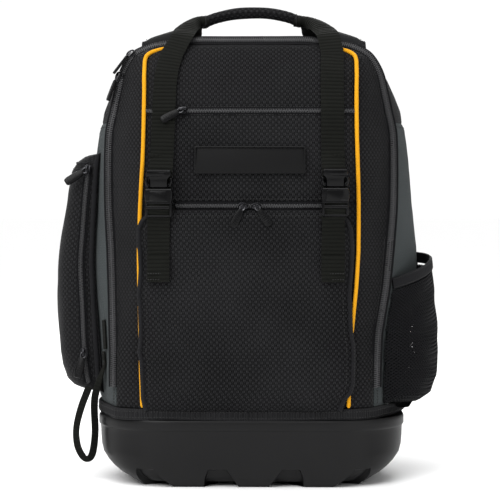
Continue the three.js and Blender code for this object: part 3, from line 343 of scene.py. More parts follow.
def frames_along(path, normals, closed=False):
    """Directions along a path, and across and out of it."""
    along = unit(np.roll(path, -1, 0) - np.roll(path, 1, 0) if closed else np.gradient(path, axis=0))
    out = unit(normals - along * np.sum(normals * along, -1, keepdims=True))
    return along, np.cross(along, out), out


def sweep(piece, path, normals, sections, closed=False, finish=None, weave=None):
    """Loops of (across, out) offsets swept along a path. sections is (k, 2) or (n, k, 2)."""
    path = np.asarray(path, float)
    _, across, out = frames_along(path, normals, closed)
    sections = np.broadcast_to(sections, (len(path),) + np.shape(sections)[-2:])
    n, k = sections.shape[:2]
    points = path[:, None] + across[:, None] * sections[..., :1] + out[:, None] * sections[..., 1:]
    faces = tube_faces(n, k, closed)
    x, y = sections[0].T
    if x @ np.roll(y, -1) - y @ np.roll(x, -1) > 0:
        faces = [f[::-1] for f in faces]
    piece.add(points, faces, cloth_rows(lengths(sections[n // 2]), lengths(path)) if weave is None else weave, finish)


def bar_across(piece, centre, half, out, loop):
    """A straight bar, level across the bag."""
    line = centre + np.column_stack([np.linspace(-half, half, 9), np.zeros(9), np.zeros(9)])
    sweep(piece, line, out, loop)


def circle(radius, sides, flat=1.0):
    a = np.arange(sides) * 2 * np.pi / sides
    return np.stack([radius * np.cos(a), radius * flat * np.sin(a)], -1)


def smooth_path(points, step):
    """A smooth line through a few points, at even steps."""
    fine = spline(spare(points), np.linspace(0, len(points) - 1, 40 * len(points)))
    length = lengths(fine[:, :3])
    at = np.linspace(0, length[-1], max(3, int(length[-1] / step) + 1))
    return np.stack([np.interp(at, length, column) for column in fine.T], -1)


def even(path, normals, step):
    """A path and its normals, smooth and at even steps."""
    line = smooth_path(np.hstack([path, np.broadcast_to(normals, np.shape(path))]), step)
    return line[:, :3], unit(line[:, 3:])


def even_loop(loop, count):
    """A closed line at a count of even steps, and its whole length."""
    ring = np.vstack([loop, loop[:1]])
    length = lengths(ring)
    at = np.linspace(0, length[-1], count + 1)[:-1]
    return np.stack([np.interp(at, length, column) for column in ring.T], -1), length[-1]


def webbing_section(width, thick, curl):
    """A flat strap's section, its lower face at 0, bent into a trough by an angle."""
    s = np.linspace(-0.5, 0.5, STRAP_POINTS) * width
    edge = 1 - np.abs(np.linspace(-1, 1, STRAP_POINTS)) ** 8 * 0.5
    low, high = thick * (0.5 - edge / 2), thick * (0.5 + edge / 2)
    loop = np.concatenate([np.stack([s, high], -1), np.stack([s, low], -1)[::-1]])
    if abs(curl) < 1e-3:
        return loop
    radius = width / curl
    angle, reach = loop[:, 0] / radius, radius - loop[:, 1]
    return np.stack([reach * np.sin(angle), radius - reach * np.cos(angle)], -1)


def webbing(piece, rows, width, rib=4.2, rib_height=0.28, step=0.7):
    """Ribbed webbing along rows of place, normal and curl."""
    line = smooth_path(rows, step)
    path, normals, curl = line[:, :3], unit(line[:, 3:6]), line[:, 6]
    length = np.arange(len(path)) * step
    ribbed = np.zeros(2 * STRAP_POINTS)
    ribbed[1:STRAP_POINTS - 1] = 1
    sections = []
    for bend, r in zip(curl, rib_height * (np.abs(np.sin(np.pi * length / rib)) - 0.6)):
        loop = webbing_section(width, WEBBING, bend)
        way = unit(loop - webbing_section(width, 1e-3, bend) + 1e-9)
        sections.append(loop + way * (ribbed * r)[:, None])
    s = np.linspace(-0.5, 0.5, STRAP_POINTS) * width
    sweep(piece, path, normals, np.array(sections), weave=cloth_rows(np.concatenate([s, s[::-1]]), length))


def rows_from(points, normals, curl=0.0):
    points = np.asarray(points, float)
    normals = np.broadcast_to(normals, points.shape)
    curls = np.broadcast_to(np.asarray(curl, float).reshape(-1, 1), (len(points), 1))
    return np.hstack([points, normals, curls])


def repeat(piece, form, faces, spots, ways, finish):
    """Copies of a small form of (across, along, out) points, each on its own frame."""
    points = spots[:, None] + sum(way[:, None] * form[..., k:k + 1] for k, way in enumerate(ways))
    count = form.shape[-2]
    piece.add(points, [tuple(i + k * count for i in f) for k in range(len(spots)) for f in faces], None, finish)


def stitches(piece, path, normals, pitch=3.4, long=2.3, thick=0.45):
    """A line of thread stitches lying on a surface."""
    centre, out = even(path, normals, pitch)
    along, across, out = frames_along(centre, out)
    rings = ((-.5, .05), (-.34, .8), (0, 1), (.34, .8), (.5, .05))
    form = np.array([(r * thick * c, at * long, r * thick * s * 0.9)
                     for at, r in rings for c, s in ((-1, -.3), (-.6, .8), (.6, .8), (1, -.3))])
    repeat(piece, form, tube_faces(len(rings), 4), centre, (across, along, out), "thread")


def place(points, at, up, out):
    """Stands points of (across, up, out) on a frame."""
    out = unit(np.asarray(out, float))
    across = unit(np.cross(up, out))
    upright = np.cross(out, across)
    return np.asarray(at) + points[:, :1] * across + points[:, 1:2] * upright + points[:, 2:] * out


def plate(piece, outline, thick, at, up, out, edge=0.6, lift=0.0):
    """An extruded outline with rounded edges, stood on a frame."""
    outline = np.asarray(outline, float)
    after = np.roll(outline, -1, 0)
    way = unit(after - np.roll(outline, 1, 0))
    clockwise = outline[:, 0] @ after[:, 1] - outline[:, 1] @ after[:, 0] < 0
    inward = np.stack([-way[:, 1], way[:, 0]], -1) * (-1 if clockwise else 1)
    levels = ((edge, 0), (edge * 0.3, edge * 0.3), (0, edge), (0, thick - edge),
              (edge * 0.3, thick - edge * 0.3), (edge, thick))
    points = np.vstack([np.column_stack([outline + inward * i, np.full(len(outline), h + lift)]) for i, h in levels])
    faces = tube_faces(len(levels), len(outline))
    piece.add(place(points, at, up, out), [f[::-1] for f in faces] if clockwise else faces, points[:, :2])


def rounded(points, radius, steps=4):
    """An outline whose corners are rounded."""
    points = np.asarray(points, float)
    out = []
    for i, p in enumerate(points):
        a, b = points[i - 1], points[(i + 1) % len(points)]
        r = min(radius, 0.45 * np.linalg.norm(a - p), 0.45 * np.linalg.norm(b - p))
        a, b = p + unit(a - p) * r, p + unit(b - p) * r
        out += [bezier(a, p, b, t) for t in np.linspace(0, 1, steps)]
    return np.array(out)


def box_outline(width, height, x=0.0, y=0.0):
    a, b = width / 2, height / 2
    return [(x - a, y - b), (x + a, y - b), (x + a, y + b), (x - a, y + b)]


# Finishes

class Num:
    """A number in a material, with arithmetic that adds Math nodes."""

    def __init__(self, tree, socket):
        self.tree, self.socket = tree, socket

    def math(self, operation, *others):
        node = self.tree.nodes.new("ShaderNodeMath")
        node.operation = operation
        for k, value in enumerate([self, *others]):
            if isinstance(value, Num):
                self.tree.links.new(value.socket, node.inputs[k])
            else:
                node.inputs[k].default_value = value
        return Num(self.tree, node.outputs[0])

    def __add__(self, other):
        return self.math("ADD", other)

    def __sub__(self, other):
        return self.math("SUBTRACT", other)

    def __mul__(self, other):
        return self.math("MULTIPLY", other)

    def sin(self):
        return self.math("SINE")

    def abs(self):
        return self.math("ABSOLUTE")


def cloth_coords(tree):
    node = tree.nodes.new("ShaderNodeAttribute")
    node.attribute_name = "weave"
    split = tree.nodes.new("ShaderNodeSeparateXYZ")
    tree.links.new(node.outputs["Vector"], split.inputs[0])
    return Num(tree, split.outputs[0]), Num(tree, split.outputs[1])


def noise(tree, scale, detail):
    node = tree.nodes.new("ShaderNodeTexNoise")
    node.inputs["Scale"].default_value, node.inputs["Detail"].default_value = scale, detail
    coords = tree.nodes.new("ShaderNodeTexCoord")
    tree.links.new(coords.outputs["Object"], node.inputs["Vector"])
    return Num(tree, node.outputs[0])


def ramp(tree, factor, low, high):
    """A colour between two, by a number from 0 to 1."""
    node = tree.nodes.new("ShaderNodeMix")
    node.data_type = "RGBA"
    node.inputs[6].default_value = (*low, 1)
    node.inputs[7].default_value = (*high, 1)
    tree.links.new(factor.socket, node.inputs[0])
    return node.outputs[2]


def basket(x, y, cell):
    """A basket weave of paired yarns: which way the yarn runs, and how high it stands."""
    a, b = x * (math.pi / cell), y * (math.pi / cell)
    over = (a.sin() * b.sin()).math("GREATER_THAN", 0.0)
    warp = (a * 2).sin().abs() * b.sin().abs().math("POWER", 0.4)
    weft = (b * 2).sin().abs() * a.sin().abs().math("POWER", 0.4)
    return over, over * warp + (over * -1 + 1) * weft


def twill(x, y, pitch):
    """Fine diagonal ridges, cut across."""
    return ((x + y) * (math.pi / pitch)).sin().abs() * ((x - y) * (math.pi / pitch * 1.7)).sin().abs()


def ribs(x, y, pitch, fine):
    """Cross ribs of webbing with fine yarns along it."""
    return (y * (math.pi / pitch)).sin().abs() * 0.7 + (x * (math.pi / fine)).sin().abs() * 0.5


FINISHES = {
    # kind, pattern size, low colour, high colour, roughness, bump depth, sheen
    "black_fabric": ("basket", 3.1, (.0002, .0002, .0003), (.0235, .0235, .0250), .55, .6, .01),
    "grey_fabric": ("basket", 1.8, (.026, .031, .032), (.074, .084, .086), .75, .4, .04),
    "webbing": ("ribs", 4.2, (.0004, .0005, .0004), (.0090, .0095, .0078), .6, .4, .02),
    "binding": ("ribs", 1.6, (.004, .004, .0046), (.016, .016, .0175), .65, .3, .03),
    "band": ("ribs", 2.7, (.0012, .0012, .0014), (.024, .024, .0255), .6, .5, .02),
    "yellow_piping": ("ribs", 1.1, (.50, .215, .006), (.74, .35, .012), .55, .2, .05),
    "mesh_fabric": ("twill", 0.8, (.004, .004, .0045), (.012, .012, .0135), .6, .1, .03),
    "padding": ("twill", 1.4, (.005, .0053, .0056), (.015, .0157, .0165), .7, .3, .05),
    "zipper_tape": ("twill", 1.2, (.002, .002, .0025), (.008, .008, .009), .6, .25, .03),
    "thread": ("plain", 1.0, (.010, .010, .010), (.03, .03, .03), .6, .05, .1),
    "base_plastic": ("moulded", 1.0, (.0056, .0056, .0059), (.0084, .0084, .0087), .4, .12, 0),
    "buckle_plastic": ("moulded", 0.6, (.0014, .0014, .0017), (.0028, .0028, .0031), .22, .03, 0),
    "badge_rubber": ("moulded", 0.5, (.0010, .0010, .0012), (.0022, .0022, .0025), .5, .04, 0),
    "zipper_pull": ("moulded", 0.5, (.0014, .0014, .0017), (.003, .003, .0034), .3, .03, 0),
    "zipper_teeth": ("moulded", 0.5, (.030, .030, .031), (.070, .070, .073), .28, .02, 0),
    "zipper_metal": ("metal", 0.5, (.012, .012, .013), (.032, .032, .035), .26, .02, 0),
    "bright_metal": ("metal", 0.5, (.045, .045, .048), (.10, .10, .106), .24, .02, 0),
}
made = {}


def material(name):
    if name in made:
        return made[name]
    kind, size, low, high, rough, depth, sheen = FINISHES[name]
    mat = bpy.data.materials.new(name)
    mat.use_nodes = True
    tree = mat.node_tree
    shader = tree.nodes["Principled BSDF"]
    x, y = cloth_coords(tree)
    bump_scale = 0.4
    if kind == "basket":
        over, height = basket(x, y, size)
        # Cells whose yarn runs one way are painted lighter than the cells across them (over * 0.4): a painted highlight
        # that stands in for light running along the yarns; the noise is random tone
        tone = over * 0.4 + height * 0.75 + (noise(tree, 9, 4) - 0.5) * 0.7 - 0.2
        bump_scale = 0.5
    elif kind == "twill":
        height = twill(x, y, size)
        tone = height * 0.6 + noise(tree, 30, 3) * 0.4
    elif kind == "ribs":
        height = ribs(x, y, size, 0.9)
        tone = height * 0.55 + noise(tree, 40, 3) * 0.35
    else:
        height = noise(tree, 900 / size, 2)
        tone = noise(tree, 14, 4)
        bump_scale = 0.3
    tone = tone.math("MAXIMUM", 0.0).math("MINIMUM", 1.0)
    tree.links.new(ramp(tree, tone, low, high), shader.inputs["Base Color"])
    roughness = noise(tree, 25, 3) * 0.14 + (rough - 0.07)
    tree.links.new(roughness.socket, shader.inputs["Roughness"])
    shader.inputs["Metallic"].default_value = 1.0 if kind == "metal" else 0.0
    shader.inputs["Sheen Weight"].default_value = sheen
    shader.inputs["Sheen Roughness"].default_value = 0.45
    shader.inputs["Specular IOR Level"].default_value = 0.045 if sheen else 0.15
    bump = tree.nodes.new("ShaderNodeBump")
    bump.inputs["Strength"].default_value = min(1.0, depth * 2)
    bump.inputs["Distance"].default_value = bump_scale * MM
    tree.links.new(height.socket, bump.inputs["Height"])
    tree.links.new(bump.outputs[0], shader.inputs["Normal"])
    made[name] = mat
    return mat


# Camera and light

DISTANCE, AZIMUTH, EYE_HEIGHT, LENS = 2.2, math.radians(1.0), 0.310, 140.3
AIM = Vector((-0.002, 0.0, 0.253))

eye = Vector((DISTANCE * math.sin(AZIMUTH), -DISTANCE * math.cos(AZIMUTH), EYE_HEIGHT))
camera = added("camera", bpy.data.cameras.new("camera"), eye, AIM - eye)
camera.data.lens = LENS
camera.data.clip_start, camera.data.clip_end = 0.05, 60
bpy.context.scene.camera = camera


for name, spot, size, power in (("key", (-1.5, -2.2, 1.7), 1.6, 26), ("fill", (1.9, -1.9, 1.1), 1.8, 13),
                                ("top", (0.0, -0.2, 2.3), 2.0, 12), ("back", (0.0, 2.4, 1.6), 2.0, 30)):
    area = bpy.data.lights.new(name, "AREA")
    area.shape, area.size, area.energy = "SQUARE", size, power
    added(name, area, spot, Vector((0, 0, 0.25)) - Vector(spot))


sun = added("sun", bpy.data.lights.new("sun", "SUN"), way=(0.35, 0.45, -1.0))
sun.data.energy, sun.data.angle = 2.9, math.radians(70)

world = bpy.data.worlds.new("studio")
world.use_nodes = True
sky = world.node_tree.nodes["Background"]
sky.inputs[0].default_value = (1, 1, 1, 1)
seen = world.node_tree.nodes.new("ShaderNodeLightPath")
level = world.node_tree.nodes.new("ShaderNodeMapRange")
level.inputs["To Min"].default_value, level.inputs["To Max"].default_value = 0.4, 1.04
world.node_tree.links.new(seen.outputs["Is Camera Ray"], level.inputs["Value"])
world.node_tree.links.new(level.outputs[0], sky.inputs[1])
bpy.context.scene.world = world
bpy.context.scene.view_settings.view_transform = "Standard"


def make_floor():
    half = 30.0
    mesh = bpy.data.meshes.new("floor")
    mesh.from_pydata([(-half, -half, 0), (half, -half, 0), (half, half, 0), (-half, half, 0)], [], [(0, 1, 2, 3)])
    obj = added("floor", mesh)
    mat = bpy.data.materials.new("floor")
    mat.use_nodes = True
    tree = mat.node_tree
    shader = tree.nodes["Principled BSDF"]
    tree.links.new(ramp(tree, noise(tree, 3, 2), (.95, .95, .95), (.965, .965, .965)), shader.inputs["Base Color"])
    shader.inputs["Roughness"].default_value = 0.5
    mesh.materials.append(mat)


# Moulded base

BASE_PROFILE = np.array([
    # height, inset at the sides, inset at the front, corner radius
    (0, 50, 8.5, 36), (1.2, 48.6, 7.2, 37), (4.5, 43, 5, 40), (8, 36.8, 3.0, 44), (12.5, 28, 2.6, 50),
    (18, 19.5, 2.5, 58), (24, 12.5, 2.5, 66), (32, 6, 2.5, 75), (40, 3.4, 2.4, 81), (50, 2.4, 2.2, 84),
    (58.5, 2.0, 2.0, 85.4),
    (60.2, 1.8, 1.8, 85.6), (61.6, 0.7, 0.7, 87), (62.6, 0.1, 0.1, 88), (64, 0, 0, 88), (70.8, 0, 0, 88),
    (72, 0.8, 0.8, 87.4),
], float)
BASE_HEIGHTS = (0, .5, 1.2, 2.5, 4.2, 5.0, 5.8, 8, 10, 12.5, 15, 17.0, 18.2, 19.0, 19.8, 21, 24, 28, 32, 36, 40, 45, 50,
                55, 58.5, 59.4, 60.2, 60.9, 61.6, 62.6, 64, 67, 70.2, 71.4, 72)


def round_rect(width, depth, radius, shares):
    """Points and outward directions of a rounded rectangle at shares of the way round, from the middle of the front
    over the right side."""
    straight, flank, arc = width / 2 - radius, depth / 2 - radius, math.pi * radius / 2
    spans = np.cumsum([0, straight, arc, 2 * flank, arc, 2 * straight, arc, 2 * flank, arc, straight])
    d = np.mod(shares, 1) * spans[-1]
    k = np.clip(np.searchsorted(spans, d, side="right") - 1, 0, 8)
    t = d - spans[k]
    curved = k % 2 == 1
    angle = k // 2 * math.pi / 2 + np.where(curved, t / radius, 0)
    corners = np.array([(0, -1), (1, -1), (1, -1), (1, 1), (1, 1), (-1, 1), (-1, 1), (-1, -1), (-1, -1)])
    along = np.stack([np.cos(angle), np.sin(angle)], -1)
    out = np.stack([np.sin(angle), -np.cos(angle)], -1)
    return corners[k] * (straight, flank) + out * radius + along * np.where(curved, 0, t)[:, None], out


def base_ring(height, shares, inset):
    """One ring of the base at a height, moved in by an inset at each share."""
    side, front, radius = read(BASE_PROFILE, height)
    p, out = round_rect(BASE_WIDTH - 2 * side, BASE_DEPTH - 2 * front, radius, shares)
    p = p - out * np.asarray(inset)[..., None]
    return np.column_stack([p, np.full(len(p), height)])


def make_base():
    foot_half = BASE_WIDTH / 2 - BASE_TAPER
    foot_depth = BASE_DEPTH / 2 - 8.5
    foot_corner = 36
    girth = 2 * (2 * foot_half + 2 * foot_depth) - 8 * foot_corner + 2 * math.pi * foot_corner
    pitch = girth / TREAD_COUNT
    inner = np.concatenate([[-1, -.965], np.linspace(-.9, .9, 11), [.965, 1]])
    outer = np.linspace(0, 1, 15)[1:-1]
    rings = []
    for z in BASE_HEIGHTS:
        half = np.interp(z, [0, TREAD_HEIGHT], [19, 9])
        places, recess = [], []
        for k in range(TREAD_COUNT):
            centre = (k + 0.5) * pitch + TREAD_SHIFT
            places += list(centre + inner * half)
            recess += list(np.interp(np.abs(inner), [0, .9, .965, 1], [1, 1, .7, 0]))
            gap = pitch - 2 * half
            places += list(centre + half + outer * gap)
            recess += [0] * len(outer)
        shares = np.array(places) / girth
        recess = np.array(recess)
        cove = np.interp(z, [0, TREAD_LIFT, 9, 14, 18.2, 19.0, 19.8, 72], [16, 11, 8.6, 6.6, 4.2, 1.0, 0, 0])
        rings.append(base_ring(z, shares, recess * cove))
    lows = np.interp(np.tile(np.concatenate([np.abs(inner), np.full(len(outer), 2.0)]), TREAD_COUNT),
                     [0, .9, 1, 2], [1, 1, 0, 0])
    rings = np.array(rings)
    lifted = rings[:, :, 2] < TREAD_LIFT
    rings[:, :, 2] = np.where(lifted & (lows > 0.5), TREAD_LIFT - (TREAD_LIFT - rings[:, :, 2]) * 0.02, rings[:, :, 2])
    under = []
    for share, rise in ((0.93, 0), (0.86, 0), (0.72, 0), (0.68, 4.2), (0.3, 4.2), (0.02, 4.2)):
        ring = rings[0] * (share, share, 1)
        ring[:, 2] = np.where(lows > 0.5, TREAD_LIFT, 0) if rise == 0 else TREAD_LIFT
        under.append(ring)
    inner_rings = []
    for z, inset in ((BASE_HEIGHT, 3.6), (66, 7), (40, 4), (24, 4), (22, 16), (12, 30), (11, 50), (10.8, 90)):
        p = round_rect(BASE_WIDTH, BASE_DEPTH, BASE_CORNER, shares)[0]
        side = read(BASE_PROFILE, z)[0]
        scale = np.array([1 - (side + inset) / (BASE_WIDTH / 2), 1 - (2.5 + inset) / (BASE_DEPTH / 2)])
        inner_rings.append(np.column_stack([p * scale, np.full(len(p), z)]))
    piece = Piece("base_tub_moulded", "base_plastic")
    all_rings = np.array(under[::-1] + list(rings) + inner_rings)
    piece.add(all_rings, tube_faces(*all_rings.shape[:2]))
    piece.done("base_tub", angle=28)


def foot_line(count):
    """The outline of the foot of the body as a closed path of even steps, with its normals and its length."""
    v = np.concatenate([np.linspace(0, 1, 60), np.linspace(1, 2, 60)[1:], np.linspace(2, 4, 90)[1:]])
    back = BACK + 14
    halves = []
    for side in (1, -1):
        half = body(0, v, side)
        x, _, z = half[-1]
        halves.append(np.vstack([half, [(x - 3 * side, back - 3, z), (x - 9 * side, back, z)]]))
    right, left = halves
    across = np.linspace(right[-1], left[-1], 60)[1:-1]
    path, girth = even_loop(np.vstack([right, across, left[::-1][:-1]]), count)
    for _ in range(3):
        path = (np.roll(path, 1, 0) + path * 2 + np.roll(path, -1, 0)) / 4
    along = unit(np.roll(path, -1, 0) - np.roll(path, 1, 0))
    return path, np.stack([along[:, 1], -along[:, 0], np.zeros(count)], -1), girth


def make_band():
    path, out, girth = foot_line(900)
    path[:, 2] = 78.3
    path[:, 2] += 0.35 * waves(path, 60, 11)
    half = 6.2
    across = np.array([(-half, -2.0), (-half, 0.9), (-half * .8, 1.7), (-half * .4, 2.0), (0, 1.7), (half * .4, 2.0),
                       (half * .8, 1.7), (half, 0.9), (half, -2.0)])
    length = np.arange(len(path)) * girth / len(path)
    rib = 0.42 * np.sin(2 * np.pi * length / 2.7)[:, None] * (np.abs(across[:, 0]) < half)[None]
    sections = np.broadcast_to(across, (len(path),) + across.shape).copy()
    sections[..., 1] += rib
    piece = Piece("base_band", "webbing")
    sweep(piece, path, out, sections, closed=True, finish="band", weave=cloth_rows(across[:, 0], length))
    for rise in (-3.1, 3.1):
        line = path + out * 2.0
        line[:, 2] = path[:, 2] + rise
        stitches(piece, line[::4], out[::4], thick=.55)
    piece.done("base_binding")


# Cloth body

def wall(name, slot, surface, a, b, node, lift=0.0, sink=1.0, fold=0.6, seed=1, stitch=()):
    """A cloth wall over a range of a surface, that sinks at its seams and is uneven like cloth."""
    points, normals = on(surface, *np.meshgrid(a, b, indexing="ij"))
    away = edge_distance(points)
    flat = np.clip(away / 14, 0, 1)
    pucker = np.sin(2 * np.pi * (points[..., 2] + points[..., 0] * 0.7) / 17 + waves(points, 50, seed + 50) * 2)
    rise = (lift - sink * np.exp(-(away / 5.0) ** 2) + fold * waves(points, 95, seed) * flat
            + 0.25 * waves(points, 28, seed + 9) * flat + 0.22 * pucker * np.exp(-((away - 7) / 7) ** 2))
    points = points + normals * rise[..., None]
    piece = Piece(name, slot)
    shell(piece, points, normals)
    for side, inset in stitch:
        axis = 1 if side in "lr" else 0
        pick = np.argmin(np.abs(edge_distance(points, side) - inset), axis=axis)
        at = (np.arange(len(pick)), pick) if axis else (pick, np.arange(len(pick)))
        line, out = points[at][2:-2:2], normals[at][2:-2:2]
        stitches(piece, line + out * 0.1, out, pitch=3.2, long=2.4, thick=.55)
    piece.done(node)


def spread(start, end, step):
    return np.linspace(start, end, max(2, int(round(abs(end - start) / step)) + 1))


ROW_STEP = 0.06
FACE_END = row_of(BODY_TOP - 2.4)


def make_walls():
    face = lambda u, s: body(u, np.abs(s), np.where(np.asarray(s) < 0, -1.0, 1.0))
    wall("front_wall", "black_fabric", face, spread(0, FACE_END, 0.1), spread(-.995, .995, 0.03), "front_panel",
         lift=-1.0, sink=0.5, seed=3)
    for name, side in SIDES:
        strip = lambda u, v, side=side: body(u, v, side)
        wall(f"front_side_{name}_cloth", "black_fabric", strip, spread(0, FACE_END, ROW_STEP),
             spread(1.012, 1.985, 0.045),
             f"front_side_{name}", sink=0.9, fold=0.7, seed=5 + side, stitch=[("r", 5.0)])
        wall(f"side_{name}_cloth", "grey_fabric", strip, spread(0, 6.54, ROW_STEP), spread(2.015, 4, 0.035),
             f"side_panel_{name}", sink=1.2, fold=0.9, seed=8 + side, stitch=[("l", 6.0), ("t", 5.0)])
    rows = spread(6.56, CROWN_ROW, ROW_STEP * 0.8)
    over = np.concatenate([rows - CROWN_ROW, (CROWN_ROW - rows)[::-1][1:]])
    over[len(rows) - 1] = 0.0
    wall("top_cloth", "black_fabric", arch_point, over, spread(2.015, 4, 0.035), "top_gusset", sink=1.0, fold=0.9,
         seed=12, stitch=[("l", 6.0)])


# Front panels and the lower pocket

TOP_ZIP, POCKET_ZIP = 405.0, 303.0
POCKET_EDGES = np.array([
    # height, left edge, right edge of the lower pocket
    (80, -110, 97), (84, -114, 98.5), (96, -116.5, 103), (103, -116.8, 109.5), (112, -117, 112),
    (136, -118, 112.5), (147, -120.5, 112.5), (155, -119, 112), (162, -118.7, 110.5), (170, -118.5, 109.5),
    (196, -119.4, 108.5), (207, -121, 108), (219, -119.5, 108.5),
    (235, -118.5, 110), (256, -119.5, 111), (262, -121, 111), (279, -121, 109.5), (287, -117, 105.5),
    (291, -112.5, 101),
    (299, -107, 97),
])
POCKET_LOW, POCKET_HIGH = 82.5, 299.0
POCKET_BULGE = np.array([
    # height share, bulge
    (0, .12), (.012, .34), (.035, .62), (.07, .84), (.13, .98), (.2, 1.04), (.4, 1), (.65, .82), (.85, .56), (.94, .42),
    (.98, .3), (1, .12),
])


def front_plane(x, z):
    """The front face carried on flat past the piping."""
    u = row_of(z)
    face, piping = np.moveaxis(spline(ARCH_ROWS, u)[..., 1:3], -1, 0)
    half = piping * COVER_WIDTH / 2
    y = -face * FRONT + CROWN * (x / half) ** 2
    return np.stack(np.broadcast_arrays(x, y, z), -1)


def pocket_surface(rise, share, lift=0.0):
    """The outside of the lower pocket at a share of its height and from edge to edge."""
    z = POCKET_LOW + rise * (POCKET_HIGH - POCKET_LOW)
    left, right = read(POCKET_EDGES, z)
    x = left + (right - left) * (share + 1) / 2
    p = front_plane(x, z)
    bulge = read(POCKET_BULGE, rise)[0]
    edge = 1 - np.abs(share) ** 7
    off = 2.6 + 12.2 * bulge * edge
    off = off + 1.7 * waves(p, 105, 31) * edge + 0.7 * waves(p * (1, 1, .55), 42, 37) * edge
    top = np.exp(-((1 - rise) / .07) ** 2)
    off = off + top * edge * 1.0 * np.sin(x / 9.5 + 1.2 * np.sin(x / 31))
    low = np.exp(-(rise / .08) ** 2)
    off = off + low * edge * 0.9 * np.sin(x / 12.5 + 2 * np.sin(x / 40) + 1)
    p = p.copy()
    p[..., 1] -= off + lift
    return p


def on_pocket(x, z, lift):
    """A place on the lower pocket at real coordinates, with its normal."""
    x, z = floats(x, z)
    left, right = read(POCKET_EDGES, z)
    rise, share = (z - POCKET_LOW) / (POCKET_HIGH - POCKET_LOW), (x - left) / (right - left) * 2 - 1
    return on(pocket_surface, rise, share, lift, away=FORWARD)


def make_pocket():
    rise = places((0, .08, 10), (.08, .92, 70), (.92, 1, 10))
    share = places((-1, -.9, 8), (-.9, .9, 62), (.9, 1, 8))
    piece = Piece("lower_pocket_cloth", "black_fabric")
    shell(piece, *on(pocket_surface, *np.meshgrid(rise, share, indexing="ij"), h=.004, away=FORWARD))
    up = np.linspace(.002, .985, 90)
    for s in (-1, 1):
        line = pocket_surface(up, np.full(90, s * .987), 0.6)
        n = unit(np.array([s * .75, -1.0, 0]))
        sweep(piece, line, n, [(-2.6, -1.4), (-2.7, .3), (-1.9, 1.5), (0, 2.0), (1.9, 1.5), (2.7, .3), (2.6, -1.4)],
              finish="binding")
        stitches(piece, line + n * 1.9, n)
        inner = pocket_surface(up, np.full(90, s * .925), 0.15)
        stitches(piece, inner[4:-4], unit(np.array([s * .3, -1.0, 0])))
    stitches(piece, pocket_surface(np.full(80, .97), np.linspace(-.93, .93, 80), 0.1), (0, -1.0, 0.1))
    piece.done("lower_pocket")


def make_face_panels():
    edge = 3.0

    def panel(z, share):
        u = row_of(z)
        half = section(u, np.where(share < 0, -1.0, 1.0))[2] - edge
        return face_point(share * half, z)

    z_top = spread(406.4, BODY_TOP - 3.4, 3.0)
    z_mid = spread(307.5, 403.9, 3.0)
    for name, z, seed in (("top_pocket", z_top, 21), ("middle_pocket", z_mid, 24)):
        wall(f"{name}_cloth", "black_fabric", panel, z, spread(-1, 1, .028), name, lift=1.6, sink=1.3, fold=0.5,
             seed=seed, stitch=[("b", 4.0)] if name == "top_pocket" else [("t", 4.0), ("b", 4.0)])


# Piping

def make_piping():
    for name, side in SIDES:
        line, out = on_side(side, row_of(spread(86, BODY_TOP - 22, 4)), 1.0, 1.2)
        hook, hook_out = on_side(side, row_of(BODY_TOP - np.array([16.5, 12.5, 9.5, 7.5])), (.995, .97, .925, .87), 1.0)
        path, normals = even(np.vstack([line, hook]), np.vstack([out, hook_out]), 2.0)
        radius = 2.25 * (1 + .03 * waves(path, 20, 44 + side))
        ring = circle(1, 10) * radius[:, None, None]
        ring[[0, -1]] *= .5
        piece = Piece(f"piping_{name}_cord", "yellow_piping")
        sweep(piece, path, normals, ring)
        piece.done(f"piping_{name}")


# Zips

def tooth_shape(wide, long, high):
    """A small rounded block: 12 points in three rings."""
    corners = np.array([(-wide, -long), (wide, -long), (wide, long), (-wide, long)]) / 2
    return np.vstack([np.column_stack([corners * grow, np.full(4, h)])
                      for h, grow in ((0, 1.0), (high * .65, 1.0), (high, .6))])


def zipper(piece, path, normals, tape=9.0, coil=4.6, pitch=1.75, high=1.5):
    """A coil zip along a path that lies on the cloth."""
    rise = 0.2
    line, out = even(path, normals, 1.6)
    for way in (-1, 1):
        low, far = .25 * way, tape / 2 * way
        ring = [(low, 0), (low, .7), ((low + far) / 2, .85), (far, .6), (far, 0)]
        sweep(piece, line, out, [(a, b + rise) for a, b in ring])
    centre, up = even(path, normals, pitch / 2)
    along, across, up = frames_along(centre, up)
    shift = np.zeros((len(centre), 1, 3))
    shift[:, 0, 0] = np.where(np.arange(len(centre)) % 2, 1, -1) * coil * .19
    shift[:, 0, 2] = rise + .6
    teeth = tooth_shape(coil * .62, pitch * .62, high) + shift
    repeat(piece, teeth, tube_faces(3, 4), centre, (across, along, up), "zipper_teeth")


def make_zips():
    low = row_of(106.2) - CROWN_ROW
    w = np.concatenate([np.linspace(low, -2.02, 220), np.linspace(-2.0, 2.0, 60), np.linspace(2.02, -low, 220)])
    path, out = on(arch_point, w, 2.0, 0.1)
    keep = np.concatenate([[True], np.linalg.norm(np.diff(path, axis=0), axis=1) > .4])
    path, out = path[keep], out[keep]
    for _ in range(4):
        out[1:-1] = unit(out[:-2] + out[1:-1] * 2 + out[2:])
    piece = Piece("main_zip_chain", "zipper_tape")
    zipper(piece, path + out * 1.3, unit(out + (0, -.75, 0)), tape=15, coil=7.4, pitch=2.1, high=1.9)
    piece.done("main_zipper")
    for name, z, half in (("top", TOP_ZIP, 111.5), ("pocket", POCKET_ZIP, 79)):
        piece = Piece(f"{name}_zip_chain", "zipper_tape")
        zipper(piece, *on_face(np.linspace(-half, half, 60), z, 0.2), tape=9.4, coil=4.2, high=1.4)
        piece.done(f"{name}_zipper")


# Sliders and pulls

